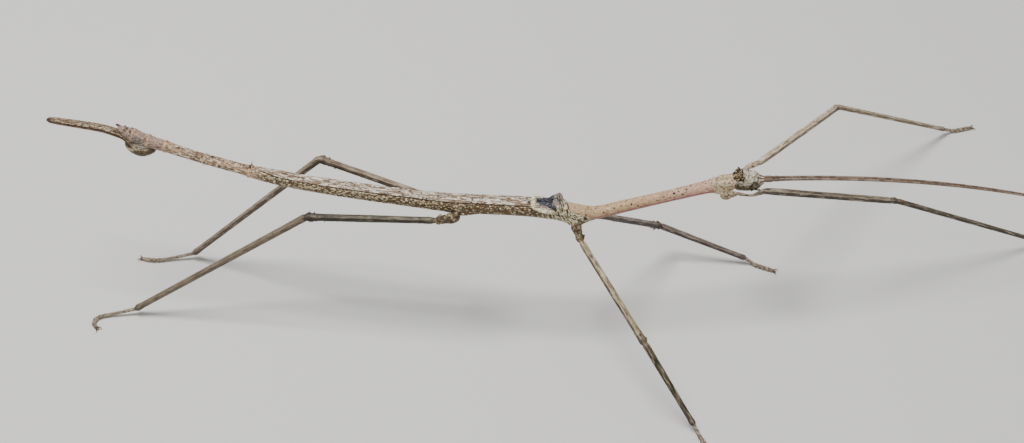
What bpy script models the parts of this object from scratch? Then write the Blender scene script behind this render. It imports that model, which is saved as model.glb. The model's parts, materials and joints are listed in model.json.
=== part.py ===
"""A giant winged stick insect, life size, standing still on the floor.

The animal looks along +X and its left side is +Y. All sizes below are in millimetres
and the meshes are in metres. The floor is z = 0. The body is one long curved axis with
a girth at each station, and it is parted into segments by thin cuts. Each leg runs from
its root on the body's side to the hip, the knee, the ankle and the tip of the foot.
"""

import math

import bmesh
import bpy
import numpy as np

MM = 0.001
OBJECT = "giant_stick_insect"
CENTRE = (20.054, 12.704)  # middle of the whole model's box, which becomes x = y = 0
CUT = 0.15  # gap left where two body segments or two leg segments part
TRUNK_SIDES = 16
LEG_SIDES = 8

# Body axis and girth from the last tergum to the neck: x, y, z, half width, half height.
TRUNK = (
    (-122.0, 19.2, 61.7, 0.9, 1.0),
    (-118.1, 18.5, 59.8, 1.9, 1.9),
    (-113.5, 17.6, 58.0, 1.9, 1.9),
    (-108.3, 16.7, 56.6, 1.75, 1.7),
    (-102.1, 15.4, 55.0, 1.6, 1.6),
    (-95.9, 14.2, 53.5, 1.6, 1.55),
    (-89.7, 13.0, 52.3, 1.7, 1.6),
    (-84.5, 12.0, 51.3, 1.65, 1.6),
    (-77.2, 10.6, 50.1, 2.15, 2.1),
    (-66.0, 8.2, 49.2, 2.3, 2.2),
    (-49.6, 5.1, 48.6, 2.45, 2.35),
    (-34.7, 3.3, 47.6, 2.55, 2.5),
    (-20.7, 1.7, 46.8, 2.8, 2.7),
    (-9.9, 1.1, 46.4, 2.85, 2.8),
    (2.5, 0.5, 46.2, 2.95, 2.85),
    (12.0, 0.2, 45.3, 2.95, 2.9),
    (19.5, 0.0, 44.0, 2.7, 2.6),
    (26.0, 0.8, 43.2, 2.05, 1.95),
    (34.8, 2.0, 44.8, 1.9, 1.85),
    (47.2, 4.3, 46.5, 1.8, 1.75),
    (59.6, 6.7, 48.2, 2.0, 1.9),
    (64.0, 7.5, 48.8, 2.4, 2.2),
    (68.4, 8.2, 49.3, 2.4, 2.2),
)
# Where the body parts, from the neck to the tail, and the segment in front of each cut.
SEGMENTS = (
    ("prothorax", 68.3, 62.6, 5),
    ("mesothorax", 62.6, 19.6, 12),
    ("metathorax", 19.6, -18.5, 15),
    ("abdomen_01", -18.5, -26.0, 4),
    ("abdomen_02", -26.0, -40.0, 4),
    ("abdomen_03", -40.0, -54.0, 4),
    ("abdomen_04", -54.0, -68.0, 4),
    ("abdomen_05", -68.0, -82.2, 7),
    ("abdomen_06", -82.2, -95.9, 5),
    ("abdomen_07", -95.9, -108.3, 5),
    ("abdomen_08", -108.3, -113.7, 4),
    ("abdomen_09", -113.7, -118.4, 4),
    ("abdomen_10", -118.4, -122.4, 4),
)
RINGED_CUTS = (-82.2, -95.9, -108.3, -113.7, -118.4)
RING_RISE = 0.22  # how far the body swells at a ringed cut
RING_REACH = 0.8
TERGUM_FLOOR = -0.55  # the last three terga are flat below this height over the axis
# Egg-laying beak with its round base, from front to tip.
BEAK = (
    (-111.0, 17.0, 55.3, 0.5, 0.45),
    (-111.9, 17.1, 55.1, 1.6, 1.4),
    (-113.8, 17.5, 55.0, 2.55, 2.4),
    (-115.8, 17.9, 55.15, 2.95, 2.85),
    (-117.8, 18.3, 56.0, 2.65, 2.5),
    (-119.6, 18.7, 57.8, 1.8, 1.7),
    (-121.7, 19.2, 59.1, 1.4, 1.4),
    (-127.0, 20.4, 60.4, 1.3, 1.3),
    (-134.5, 22.0, 60.7, 1.2, 1.25),
    (-141.8, 23.4, 60.9, 1.05, 1.15),
    (-144.4, 23.9, 60.9, 0.8, 0.9),
    (-145.2, 24.0, 60.9, 0.45, 0.5),
)

# Wings: strips on the back from WING_FRONT to WING_TIP, under the humped fore wings.
WING_FRONT = 5.4
WING_TIP = -79.4
WING_EDGE = 47.0  # degrees over the horizon where each wing strip ends
WING_THICK = 0.55
WING_SEAT = 0.72  # how far the body is cut back under the wings
TEGMEN_FRONT = 17.2
TEGMEN_BACK = 5.7
TEGMEN_RISE = 0.45
HUMP_AT = 13.2
HUMP_ANGLE = 72.0
HUMP_RISE = 1.7

# Head along its own axis: distance from the neck, half width, half height, lift.
HEAD_BACK = np.array((68.6, 8.2, 49.35))
HEAD_FRONT = np.array((78.3, 9.35, 49.15))
HEAD = (
    (0.0, 2.1, 2.1, 0.0),
    (0.7, 2.6, 2.7, 0.1),
    (1.9, 2.95, 3.05, 0.2),
    (3.4, 3.05, 3.15, 0.2),
    (5.0, 3.05, 3.15, 0.05),
    (6.6, 2.85, 2.95, -0.15),
    (7.8, 2.3, 2.4, -0.2),
    (8.8, 1.6, 1.6, -0.1),
    (9.7, 1.25, 1.0, 0.05),
)
HORN_AT, HORN_ANGLE, HORN_RISE, HORN_REACH = 1.9, 62.0, 1.3, 0.85
EYE_AT, EYE_OUT, EYE_UP, EYE_RADIUS = 6.1, 2.2, 0.15, 1.35
EYE_CLEARANCE = 0.12
MOUTH = ((6.6, 0.5, 0.25), (7.1, 1.1, 0.5), (8.0, 1.3, 0.6), (8.9, 1.0, 0.5), (9.4, 0.5, 0.3))

ANTENNA_LENGTH = 94.0
ANTENNA_APART = 0.62
ANTENNA_POINTS = 20
ANTENNA_YAW = (5.5, 9.5)
ANTENNA_PITCH = (-2.5, -22.0)
ANTENNA_CLOSING = 0.15  # degrees that each feeler turns towards the other

# Each leg: root along the body, hip, femur yaw and pitch, tibia yaw, foot yaw and curl.
LENGTHS = {"fore": (57.0, 60.0), "mid": (38.4, 30.8), "hind": (41.0, 69.0)}
RADII = {"fore": (1.25, 1.05, 0.82), "mid": (1.4, 1.05, 0.95), "hind": (1.5, 1.1, 1.1)}
FOOT_LENGTH = {"fore": 10.5, "mid": 10.0, "hind": 17.5}
FIRST_JOINT = {"fore": 0.42, "mid": 0.42, "hind": 0.6}  # share of the foot
LEGS = {
    "fore_right": (65.0, (69.8, 3.9, 48.4), 14.2, -16.8, 12.6, 9.0, 0.0),
    "fore_left": (65.0, (71.8, 14.0, 47.3), 50.8, -11.4, 31.0, 15.0, 0.0),
    "mid_right": (20.0, (21.3, -7.5, 39.0), -57.9, -20.6, -39.9, -62.0, -10.0),
    "mid_left": (20.0, (24.8, 5.8, 37.4), 38.6, -38.5, -8.0, -24.0, 0.0),
    "hind_right": (-17.2, (-23.4, -3.8, 44.2), 173.6, -4.2, -177.2, -172.0, 122.0),
    "hind_left": (-17.2, (-21.2, 5.9, 42.6), 168.9, 16.2, 168.0, -172.0, -25.0),
}
ANKLE_HEIGHT = 2.3
FOOT_RADIUS = 0.65
ROOT_ANGLE = -38.0  # degrees over the horizon at which a leg leaves the body's side
ROOT_GAP = 0.3  # between the body and the root of a leg
ROOT_STALK = 0.95  # how far a leg goes straight out before it turns, in root radii
SOLE_HEIGHT = 0.6  # height of the foot's axis where its flat sole lies on the floor
# Curved thin base of a fore femur: along the leg, away from the body, and up from the hip.
FORE_NECK = ((2.4, 0.6, -0.8), (5.0, 0.85, -1.3), (9.1, -0.6, -1.7))
NECK_BREADTH = (1.0, 1.85, 1.85, 1.1)  # how many times broader than thick a fore thigh is there

BARK = (0.42, 0.34, 0.28, 1.0)
PALE_BARK = (0.55, 0.50, 0.42, 1.0)
LEG_BROWN = (0.33, 0.27, 0.23, 1.0)
WING_CREAM = (0.50, 0.42, 0.35, 1.0)
TEGMEN_GREY = (0.30, 0.30, 0.32, 1.0)
EYE_DARK = (0.14, 0.13, 0.09, 1.0)
CLAW_DARK = (0.08, 0.06, 0.05, 1.0)


def clear_scene():
    for thing in list(bpy.data.objects):
        bpy.data.objects.remove(thing)


def new_collection(name):
    made = bpy.data.collections.new(name)
    bpy.context.scene.collection.children.link(made)
    return made


def material(name, colour, roughness):
    """A plain Principled material of its own for one object."""
    made = bpy.data.materials.new(name)
    made.use_nodes = True
    surface = made.node_tree.nodes["Principled BSDF"]
    surface.inputs["Base Color"].default_value = colour
    surface.inputs["Roughness"].default_value = roughness
    surface.inputs["Metallic"].default_value = 0.0
    return made


def unit(vector):
    return np.asarray(vector, float) / np.linalg.norm(vector)


def heading(yaw, pitch):
    """Unit vector at this yaw from +X towards +Y and this pitch over the horizon."""
    yaw, pitch = math.radians(yaw), math.radians(pitch)
    flat = math.cos(pitch)
    return np.array((flat * math.cos(yaw), flat * math.sin(yaw), math.sin(pitch)))


def smooth_table(table, at):
    """Columns of the table at these first-column values, by a cubic through the rows
    whose slope at each row is that between its two neighbours."""
    rows = np.array(sorted(table), float)
    key = rows[:, 0]
    slopes = np.gradient(rows, axis=0) / np.gradient(key)[:, None]
    at = np.clip(np.atleast_1d(np.asarray(at, float)), key[0], key[-1])
    i = np.clip(np.searchsorted(key, at) - 1, 0, len(key) - 2)
    wide = (key[i + 1] - key[i])[:, None]
    t = ((at - key[i]) / (key[i + 1] - key[i]))[:, None]
    start = (2 * t**3 - 3 * t**2 + 1) * rows[i] + (t**3 - 2 * t**2 + t) * wide * slopes[i]
    end = (3 * t**2 - 2 * t**3) * rows[i + 1] + (t**3 - t**2) * wide * slopes[i + 1]
    return (start + end)[:, 1:]


def frame_along(tangent):
    """Left and up vectors square to a tangent."""
    left = unit(np.cross((0.0, 0.0, 1.0), tangent))
    return left, np.cross(tangent, left)


def trunk_frame(x, table=TRUNK):
    """Centre, left, up, half width and half height of the body at this x."""
    here, ahead = smooth_table(table, (x, x + 0.5))
    centre = np.array((x, here[0], here[1]))
    tangent = unit((0.5, ahead[0] - here[0], ahead[1] - here[1]))
    left, up = frame_along(tangent)
    return centre, left, up, here[2], here[3]


def angles(sides, shift=0.0):
    return 2 * np.pi * (np.arange(sides) + shift) / sides


def oval(theta, wide, high, square=2.2):
    """Superellipse points: across and up at each angle, rounder than a box."""
    across = np.sign(np.cos(theta)) * np.abs(np.cos(theta)) ** (2 / square) * wide
    rise = np.sign(np.sin(theta)) * np.abs(np.sin(theta)) ** (2 / square) * high
    return across, rise


def fade(value, low, high):
    """0 below low, 1 above high, and a smooth step between."""
    t = np.clip((np.asarray(value, float) - low) / (high - low), 0.0, 1.0)
    return t * t * (3 - 2 * t)


def add_mesh(name, points, faces, look, collection):
    mesh = bpy.data.meshes.new(name)
    placed = (np.asarray(points) - (CENTRE[0], CENTRE[1], 0.0)) * MM
    mesh.from_pydata(placed.tolist(), [], faces)
    work = bmesh.new()
    work.from_mesh(mesh)
    bmesh.ops.recalc_face_normals(work, faces=work.faces)
    work.to_mesh(mesh)
    work.free()
    mesh.shade_smooth()
    mesh.set_sharp_from_angle(angle=math.radians(50))
    mesh.materials.append(look)
    made = bpy.data.objects.new(name, mesh)
    collection.objects.link(made)
    return made


def loft(name, rings, look, collection):
    """Closed skin over rings of equal point counts, each end closed by a fan."""
    rings = np.asarray(rings, float)
    count, sides = rings.shape[:2]
    points = rings.reshape(-1, 3)
    ends = np.array((rings[0].mean(axis=0), rings[-1].mean(axis=0)))
    faces = []
    for i in range(count - 1):
        for j in range(sides):
            k = (j + 1) % sides
            low, high = i * sides, (i + 1) * sides
            faces.append((low + j, low + k, high + k, high + j))
    first, last = len(points), len(points) + 1
    for j in range(sides):
        k = (j + 1) % sides
        faces.append((first, k, j))
        faces.append((last, (count - 1) * sides + j, (count - 1) * sides + k))
    return add_mesh(name, np.vstack((points, ends)), faces, look, collection)


def under_wing(x, theta):
    """Depth that the body gives up to the wings lying on it at this x and angle."""
    height = np.degrees(np.arcsin(np.sin(theta)))
    strip = fade(height, 24, 43) * fade(x, WING_TIP - 2.8, WING_TIP - 0.4) * (x < WING_FRONT)
    near = fade(x, TEGMEN_BACK - 0.8, TEGMEN_BACK - 0.2)
    cover = fade(height, -22, -2) * near * (1 - fade(x, TEGMEN_FRONT, TEGMEN_FRONT + 0.6))
    return WING_SEAT * np.maximum(strip, cover)


def trunk_ring(x):
    """Body section at this x, swollen at the ringed cuts and cut back under the wings."""
    centre, left, up, wide, high = trunk_frame(x)
    swell = sum(math.exp(-(((x - cut) / RING_REACH) ** 2)) for cut in RINGED_CUTS)
    theta = angles(TRUNK_SIDES)
    seat = under_wing(x, theta)
    grow = 1 + RING_RISE * swell / wide
    across, rise = oval(theta, wide * grow, high * grow)
    reach = np.hypot(across, rise)
    shrink = (reach - seat) / reach
    return centre, left, up, across * shrink, rise * shrink


def placed_ring(centre, left, up, across, rise):
    return centre + np.outer(across, left) + np.outer(rise, up)


def add_segment(name, front, back, count, look, collection):
    low_flat = name in ("abdomen_08", "abdomen_09", "abdomen_10")
    rings = []
    for x in np.linspace(front - CUT / 2, back + CUT / 2, count):
        centre, left, up, across, rise = trunk_ring(x)
        if low_flat:
            rise = np.maximum(rise, TERGUM_FLOOR)
        rings.append(placed_ring(centre, left, up, across, rise))
    return loft(name, rings, look, collection)


def metathorax_stations():
    """Even stations with extra ones beside the edges of the fore wings."""
    _, front, back, count = SEGMENTS[2]
    even = np.linspace(front - CUT / 2, back + CUT / 2, count)
    edges = (TEGMEN_FRONT, TEGMEN_FRONT + 0.6, TEGMEN_BACK - 0.2, TEGMEN_BACK - 0.8)
    keep = [x for x in even if all(abs(x - edge) > 0.5 for edge in edges)]
    return sorted((*keep, *edges), reverse=True)


def add_metathorax(look, collection):
    rings = [placed_ring(*trunk_ring(x)) for x in metathorax_stations()]
    return loft("metathorax", rings, look, collection)


def shell_ring(x, start, stop, rise, thick, bump):
    """Closed section of a thin plate on the body between two angles in degrees: the
    outer arc stands over the body's own outline, and the inner arc lies under it."""
    centre, left, up, wide, high = trunk_frame(x)
    theta = np.radians(np.linspace(start, stop, 6))
    across, lift = oval(theta, wide, high)
    reach = np.hypot(across, lift)
    outer = (reach + rise + bump(x, np.degrees(theta))) / reach
    inner = (reach - thick) / reach
    ring = [placed_ring(centre, left, up, across * outer, lift * outer)]
    ring.append(placed_ring(centre, left, up, across * inner, lift * inner)[::-1])
    return np.vstack(ring)


def no_bump(x, degrees):
    return np.zeros_like(degrees)


def add_hind_wing(side, look, collection):
    """Narrow strip from the back's middle to WING_EDGE, running to a point."""
    sign = 1 if side == "left" else -1
    rings = []
    for x in np.linspace(WING_FRONT - CUT, WING_TIP + 0.3, 11):
        taper = 1 - fade(x, WING_TIP + 9, WING_TIP) if x < WING_TIP + 9 else 1.0
        middle = 90 - sign * 2.2
        reach = (90 - WING_EDGE) * (0.35 + 0.65 * taper)
        rings.append(shell_ring(x, middle, 90 - sign * reach, 0.0, WING_THICK, no_bump))
    return loft(f"hindwing_{side}", rings, look, collection)


def add_tegmen(side, look, collection):
    """Short humped fore wing that wraps the shoulder of the metathorax."""
    sign = 1 if side == "left" else -1

    def hump(x, degrees):
        off = np.minimum(np.abs(degrees - HUMP_ANGLE), np.abs(degrees - 180 + HUMP_ANGLE))
        along = math.exp(-(((x - HUMP_AT) / 2.3) ** 2))
        return HUMP_RISE * along * np.exp(-((off / 26) ** 2))

    rings = []
    middle = (TEGMEN_FRONT + TEGMEN_BACK) / 2
    half = (TEGMEN_FRONT - TEGMEN_BACK) / 2 - 0.1
    for x in middle + half * np.cos(np.linspace(0, np.pi, 9)):
        along = (x - TEGMEN_BACK) / (TEGMEN_FRONT - TEGMEN_BACK)
        wrap = 34 + 42 * math.sqrt(max(0.0, 1 - (2 * along - 1.02) ** 2))
        stop = 90 - sign * wrap
        rings.append(shell_ring(x, 90 - sign * 2.2, stop, TEGMEN_RISE, WING_THICK, hump))
    return loft(f"tegmen_{side}", rings, look, collection)


def add_beak(look, collection):
    rings = []
    for x in [row[0] for row in BEAK]:
        centre, left, up, wide, high = trunk_frame(x, BEAK)
        rings.append(placed_ring(centre, left, up, *oval(angles(12), wide, high)))
    return loft("ovipositor_beak", rings, look, collection)


def head_frame():
    ahead = unit(HEAD_FRONT - HEAD_BACK)
    return ahead, *frame_along(ahead)


def head_point(along, out, up_by):
    """Point in the head's own frame: along its axis, to its left and up."""
    ahead, left, up = head_frame()
    return HEAD_BACK + ahead * along + left * out + up * up_by


def add_head(look, collection):
    """Round head with two blunt horns behind, drawn from the HEAD stations."""
    ahead, left, up = head_frame()
    theta = angles(20)
    rings = []
    for s in (0, 0.7, 1.3, 1.9, 2.6, 3.4, 4.3, 5.2, 6.1, 7.0, 7.8, 8.5, 9.1, 9.7):
        wide, high, lift = smooth_table(HEAD, s)[0]
        across, rise = oval(theta, wide, high)
        reach = np.hypot(across, rise)
        degrees = np.degrees(theta)
        off = np.minimum(np.abs(degrees - HORN_ANGLE), np.abs(degrees - 180 + HORN_ANGLE))
        bump = HORN_RISE * np.exp(-((off / 20) ** 2) - ((s - HORN_AT) / HORN_REACH) ** 2)
        grow = (reach + bump) / reach
        centre = HEAD_BACK + ahead * s + up * lift
        rings.append(placed_ring(centre, left, up, across * grow, rise * grow))
    return loft("head", rings, look, collection)


def add_ball(name, centre, radius, look, collection):
    work = bmesh.new()
    bmesh.ops.create_uvsphere(work, u_segments=12, v_segments=8, radius=radius * MM)
    mesh = bpy.data.meshes.new(name)
    work.to_mesh(mesh)
    work.free()
    mesh.shade_smooth()
    mesh.materials.append(look)
    made = bpy.data.objects.new(name, mesh)
    made.location = (np.asarray(centre) - (CENTRE[0], CENTRE[1], 0.0)) * MM
    collection.objects.link(made)
    return made


def add_eyes(head, collection, cutters):
    """Round eyes in sockets that a slightly larger ball cuts into the head."""
    for side, sign in (("left", 1), ("right", -1)):
        centre = head_point(EYE_AT, sign * EYE_OUT, EYE_UP)
        look = material(f"eye_{side}", EYE_DARK, 0.25)
        add_ball(f"eye_{side}", centre, EYE_RADIUS, look, collection)
        socket = add_ball(
            f"socket_{side}", centre, EYE_RADIUS + EYE_CLEARANCE, look, cutters
        )
        socket.hide_render = True
        socket.display_type = "WIRE"
        cut = head.modifiers.new(f"socket_{side}", "BOOLEAN")
        cut.object = socket
        cut.operation = "DIFFERENCE"


def add_mouth(look, collection):
    """Blunt mouthparts under the front of the head."""
    ahead, left, up = head_frame()
    rings = []
    for s, wide, high in MOUTH:
        _, head_high, lift = smooth_table(HEAD, s)[0]
        centre = head_point(s, 0.0, lift - head_high - high - CUT)
        rings.append(placed_ring(centre, left, up, *oval(angles(8, 0.5), wide, high)))
    return loft("mouthparts", rings, look, collection)


def add_tube(name, points, radii, look, collection):
    """Round rod as a curve with filled caps, its radius set at each point."""
    curve = bpy.data.curves.new(name, "CURVE")
    curve.dimensions = "3D"
    curve.bevel_depth = MM
    curve.bevel_resolution = 2
    curve.use_fill_caps = True
    line = curve.splines.new("POLY")
    line.points.add(len(points) - 1)
    for knot, place, radius in zip(line.points, points, radii):
        placed = (np.asarray(place) - (CENTRE[0], CENTRE[1], 0.0)) * MM
        knot.co = (*placed, 1.0)
        knot.radius = radius
    curve.materials.append(look)
    made = bpy.data.objects.new(name, curve)
    collection.objects.link(made)
    return made


def antenna_path(sign, count=ANTENNA_POINTS):
    """Points along a feeler whose yaw and droop grow evenly from base to tip."""
    t = (np.arange(count - 1) + 0.5) / (count - 1)
    step = ANTENNA_LENGTH / (count - 1)
    yaws = np.interp(t, (0, 1), ANTENNA_YAW) - sign * ANTENNA_CLOSING
    pitches = np.interp(t, (0, 1), ANTENNA_PITCH)
    turns = [heading(yaw, pitch) for yaw, pitch in zip(yaws, pitches)]
    start = head_point(9.95, sign * ANTENNA_APART, 0.2)
    return np.vstack((start, start + np.cumsum(np.array(turns) * step, axis=0)))


def add_antennae(collection):
    for side, sign in (("left", 1), ("right", -1)):
        points = antenna_path(sign)
        radii = np.interp(np.arange(len(points)), (0, 1, 2, 12, 19), (0.6, 0.46, 0.45, 0.41, 0.28))
        look = material(f"antenna_{side}", LEG_BROWN, 0.6)
        add_tube(f"antenna_{side}", points, radii, look, collection)


def bar_ring(centre, tangent, radius, sides=LEG_SIDES):
    """Section of a leg: a square with its corners cut, a flat side below."""
    left, up = frame_along(tangent)
    theta = angles(sides, 0.5)
    return placed_ring(centre, left, up, radius * np.cos(theta), radius * np.sin(theta))


def slid_onto(ring, direction, point, normal):
    """The ring's points slid along the direction onto the plane at the point."""
    gap = (np.asarray(point) - ring) @ normal / (direction @ normal)
    return ring + np.outer(gap, direction)


def bar(path, radii, start_normal=None, end_normal=None):
    """Rings along a path with a radius at each point. The end rings lie on the planes
    of the joints, drawn back by half the cut."""
    path = np.asarray(path, float)
    ways = np.diff(path, axis=0)
    ways /= np.linalg.norm(ways, axis=1)[:, None]
    rings = []
    for i, (place, radius) in enumerate(zip(path, radii)):
        before = ways[max(i - 1, 0)]
        after = ways[min(i, len(ways) - 1)]
        rings.append(bar_ring(place, unit(before + after), radius))
    if start_normal is not None:
        start = path[0] + ways[0] * CUT / 2
        rings[0] = slid_onto(bar_ring(start, ways[0], radii[0]), ways[0], start, start_normal)
    if end_normal is not None:
        stop = path[-1] - ways[-1] * CUT / 2
        rings[-1] = slid_onto(bar_ring(stop, ways[-1], radii[-1]), ways[-1], stop, end_normal)
    return np.array(rings)


def leg_joints(name):
    """Root, hip, knee and ankle of a leg, and the way it leaves the body. The tibia's
    pitch brings the ankle down to ANKLE_HEIGHT."""
    root, hip, yaw, pitch, tibia_yaw, foot_yaw, curl = LEGS[name]
    pair, side = name.split("_")
    sign = 1 if side == "left" else -1
    centre, left, up, wide, high = trunk_frame(root)
    angle = math.radians(ROOT_ANGLE)
    across, rise = oval(angle, wide, high)
    out = left * sign * math.cos(angle) + up * math.sin(angle)
    start = centre + left * sign * across + up * rise + out * ROOT_GAP
    femur, tibia = LENGTHS[pair]
    hip = np.array(hip)
    knee = hip + heading(yaw, pitch) * femur
    drop = math.degrees(math.asin((knee[2] - ANKLE_HEIGHT) / tibia))
    ankle = knee + heading(tibia_yaw, -drop) * tibia
    return start, hip, knee, ankle, out


def femur_path(name, hip, knee):
    """Places along the thigh: straight, but for the thin curved base of a fore leg."""
    pair, side = name.split("_")
    if pair != "fore":
        shares = (0, 0.05, 0.12, 0.3, 0.5, 0.7, 0.86, 0.94, 1.0)
        radii = (0.8, 0.95, 0.92, 0.95, 1.0, 1.0, 1.0, 1.14, 1.1)
        return [hip + (knee - hip) * s for s in shares], radii
    sign = 1 if side == "left" else -1
    ahead = unit(((knee - hip)[0], (knee - hip)[1], 0.0))
    out = np.array((-ahead[1], ahead[0], 0.0)) * sign
    neck = [hip + ahead * a + out * o + np.array((0.0, 0.0, u)) for a, o, u in FORE_NECK]
    shaft = [neck[-1] + (knee - neck[-1]) * s for s in (0.06, 0.3, 0.55, 0.8, 0.93, 1.0)]
    radii = (0.5, 0.4, 0.45, 0.85, 1.0, 1.0, 0.97, 0.9, 0.92, 0.95)
    return [hip, *neck, *shaft], radii


def flattened_base(rings, path, side):
    """The base of a fore thigh made broad from its inner lower to its outer upper side,
    and so left thin towards the head."""
    ahead = path[-1] - path[0]
    out = unit((-ahead[1], ahead[0], 0.0)) * (1 if side == "left" else -1)
    way = unit(out + np.array((0.0, 0.0, 1.0)))
    for i, breadth in enumerate(NECK_BREADTH):
        off = (rings[i] - path[i]) @ way
        rings[i] += np.outer(off, way) * (breadth - 1)
    return rings


def foot_path(name, ankle):
    """Ankle, slope down to the floor, then along it while the yaw turns by the curl."""
    pair = name.split("_")[0]
    yaw, curl = LEGS[name][5:7]
    length = FOOT_LENGTH[pair]
    points = [ankle]
    down = ankle[2] - SOLE_HEIGHT
    first = FIRST_JOINT[pair] * length
    flat = math.sqrt(first**2 - down**2)
    ahead = heading(yaw, 0.0)
    points.append(ankle + ahead * flat * 0.5 - np.array((0.0, 0.0, down * 0.55)))
    points.append(ankle + ahead * flat - np.array((0.0, 0.0, down)))
    rest = length - first
    for i in range(4):
        turn = yaw + curl * ((i + 1) / 4) ** 1.5
        points.append(points[-1] + heading(turn, 0.0) * rest / 4)
    return np.array(points)


def add_claws(name, tip, ahead, look, collection):
    """The two claws of a foot as one forked rod, from one hooked tip to the other."""
    out = np.array((-ahead[1], ahead[0], 0.0))
    side = ((1.5, 0.95, -0.12), (1.15, 0.8, 0.2), (0.6, 0.5, 0.3), (0.38, 0.0, 0.2))
    half = [tip + ahead * a + out * o + np.array((0.0, 0.0, u)) for a, o, u in side]
    other = [tip + ahead * a - out * o + np.array((0.0, 0.0, u)) for a, o, u in side[2::-1]]
    radii = (0.12, 0.2, 0.26, 0.3, 0.26, 0.2, 0.12)
    return add_tube(f"claws_{name}", half + other, radii, look, collection)


def add_leg(name, collection):
    pair, side = name.split("_")
    hip_radius, femur_radius, tibia_radius = RADII[pair]
    root, hip, knee, ankle, out = leg_joints(name)
    thigh, thigh_radii = femur_path(name, hip, knee)
    foot = foot_path(name, ankle)
    at_hip = unit(unit(hip - root - out * hip_radius) + unit(thigh[1] - hip))
    at_knee = unit(unit(knee - thigh[-2]) + unit(ankle - knee))
    at_ankle = unit(unit(ankle - knee) + unit(foot[1] - ankle))
    end = femur_radius * thigh_radii[0]

    elbow = root + out * hip_radius * ROOT_STALK
    coxa = [root, *(elbow + (hip - elbow) * s for s in (0, 0.35, 0.6, 0.8, 1.0))]
    radii = [hip_radius * share for share in (0.9, 1.0, 1.0, 0.88)]
    rings = bar(coxa, (*radii, end * 1.22, end * 1.1), out, at_hip)
    loft(f"coxa_{name}", rings, material(f"coxa_{name}", PALE_BARK, 0.75), collection)

    rings = bar(thigh, femur_radius * np.array(thigh_radii), at_hip, at_knee)
    if pair == "fore":
        rings = flattened_base(rings, thigh, side)
    loft(f"femur_{name}", rings, material(f"femur_{name}", LEG_BROWN, 0.65), collection)

    shares = (0, 0.03, 0.07, 0.2, 0.4, 0.6, 0.8, 0.95, 0.98, 1.0)
    widths = np.array((1.05, 1.15, 1.02, 1.0, 0.96, 0.93, 0.9, 0.88, 1.0, 0.85))
    shin = [knee + (ankle - knee) * s for s in shares]
    rings = bar(shin, tibia_radius * widths, at_knee, at_ankle)
    loft(f"tibia_{name}", rings, material(f"tibia_{name}", LEG_BROWN, 0.65), collection)

    radii = FOOT_RADIUS * np.array((0.95, 0.9, 1.0, 1.0, 1.0, 1.0, 0.95))
    rings = bar(foot, radii, start_normal=at_ankle)
    rings[:, :, 2] = np.maximum(rings[:, :, 2], 0.0)
    loft(f"tarsus_{name}", rings, material(f"tarsus_{name}", LEG_BROWN, 0.7), collection)

    look = material(f"claws_{name}", CLAW_DARK, 0.4)
    add_claws(name, foot[-1], unit(foot[-1] - foot[-2]), look, collection)


def add_cerci(collection):
    """Two short leaf-like tails beside the last tergum."""
    centre, left, up, wide, high = trunk_frame(-121.6)
    back = unit((-1.0, 0.2, 0.35))
    for side, sign in (("left", 1), ("right", -1)):
        root = centre + left * sign * 1.35 - up * 0.35
        tip = root + back * 2.6 + left * sign * 0.35
        path = [root + (tip - root) * s for s in (0, 0.35, 0.75, 1.0)]
        rings = bar(path, (0.32, 0.42, 0.36, 0.25))
        look = material(f"cercus_{side}", BARK, 0.7)
        loft(f"cercus_{side}", rings, look, collection)


def build():
    clear_scene()
    parts = new_collection(OBJECT)
    cutters = new_collection("cutters")
    for name, front, back, count in SEGMENTS:
        look = material(name, BARK, 0.7)
        if name == "metathorax":
            add_metathorax(look, parts)
        else:
            add_segment(name, front, back, count, look, parts)
    add_beak(material("ovipositor_beak", BARK, 0.7), parts)
    add_cerci(parts)
    for side in ("left", "right"):
        add_hind_wing(side, material(f"hindwing_{side}", WING_CREAM, 0.6), parts)
        add_tegmen(side, material(f"tegmen_{side}", TEGMEN_GREY, 0.6), parts)
    head = add_head(material("head", PALE_BARK, 0.75), parts)
    add_eyes(head, parts, cutters)
    add_mouth(material("mouthparts", BARK, 0.6), parts)
    add_antennae(parts)
    for name in LEGS:
        add_leg(name, parts)


build()
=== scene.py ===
"""Looks of the giant stick insect: skins, wings, eyes, feelers and claws over its solids.

Shapes are worked out in millimetres on grids of two parameters: a place along a curved
axis and an angle round it. Each grid becomes a closed mesh. Grids carry marks, numbers
from 0 to 1 at each point, that say where a colour or a pattern lies, and the grain, the
same point with its axis laid straight, which the materials use for their patterns.
"""

import itertools
import json
import math
from types import SimpleNamespace

import bpy
import numpy as np
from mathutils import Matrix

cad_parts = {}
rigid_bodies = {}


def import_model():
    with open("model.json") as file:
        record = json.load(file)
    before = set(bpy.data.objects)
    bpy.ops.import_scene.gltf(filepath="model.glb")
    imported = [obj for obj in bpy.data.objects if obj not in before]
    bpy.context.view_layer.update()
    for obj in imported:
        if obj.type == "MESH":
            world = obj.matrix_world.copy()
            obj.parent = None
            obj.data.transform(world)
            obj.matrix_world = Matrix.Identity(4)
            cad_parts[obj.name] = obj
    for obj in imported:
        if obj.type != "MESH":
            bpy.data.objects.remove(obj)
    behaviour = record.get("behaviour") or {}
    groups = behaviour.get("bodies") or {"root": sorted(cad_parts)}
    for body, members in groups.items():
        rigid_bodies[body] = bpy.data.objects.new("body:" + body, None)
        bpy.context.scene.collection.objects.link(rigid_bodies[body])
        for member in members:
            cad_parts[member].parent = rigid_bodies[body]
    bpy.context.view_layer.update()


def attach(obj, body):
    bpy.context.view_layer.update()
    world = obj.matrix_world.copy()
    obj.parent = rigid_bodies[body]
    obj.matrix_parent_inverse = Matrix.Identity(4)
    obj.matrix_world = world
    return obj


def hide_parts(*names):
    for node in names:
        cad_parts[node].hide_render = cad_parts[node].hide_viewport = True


MM = 0.001  # metres in a millimetre
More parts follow.
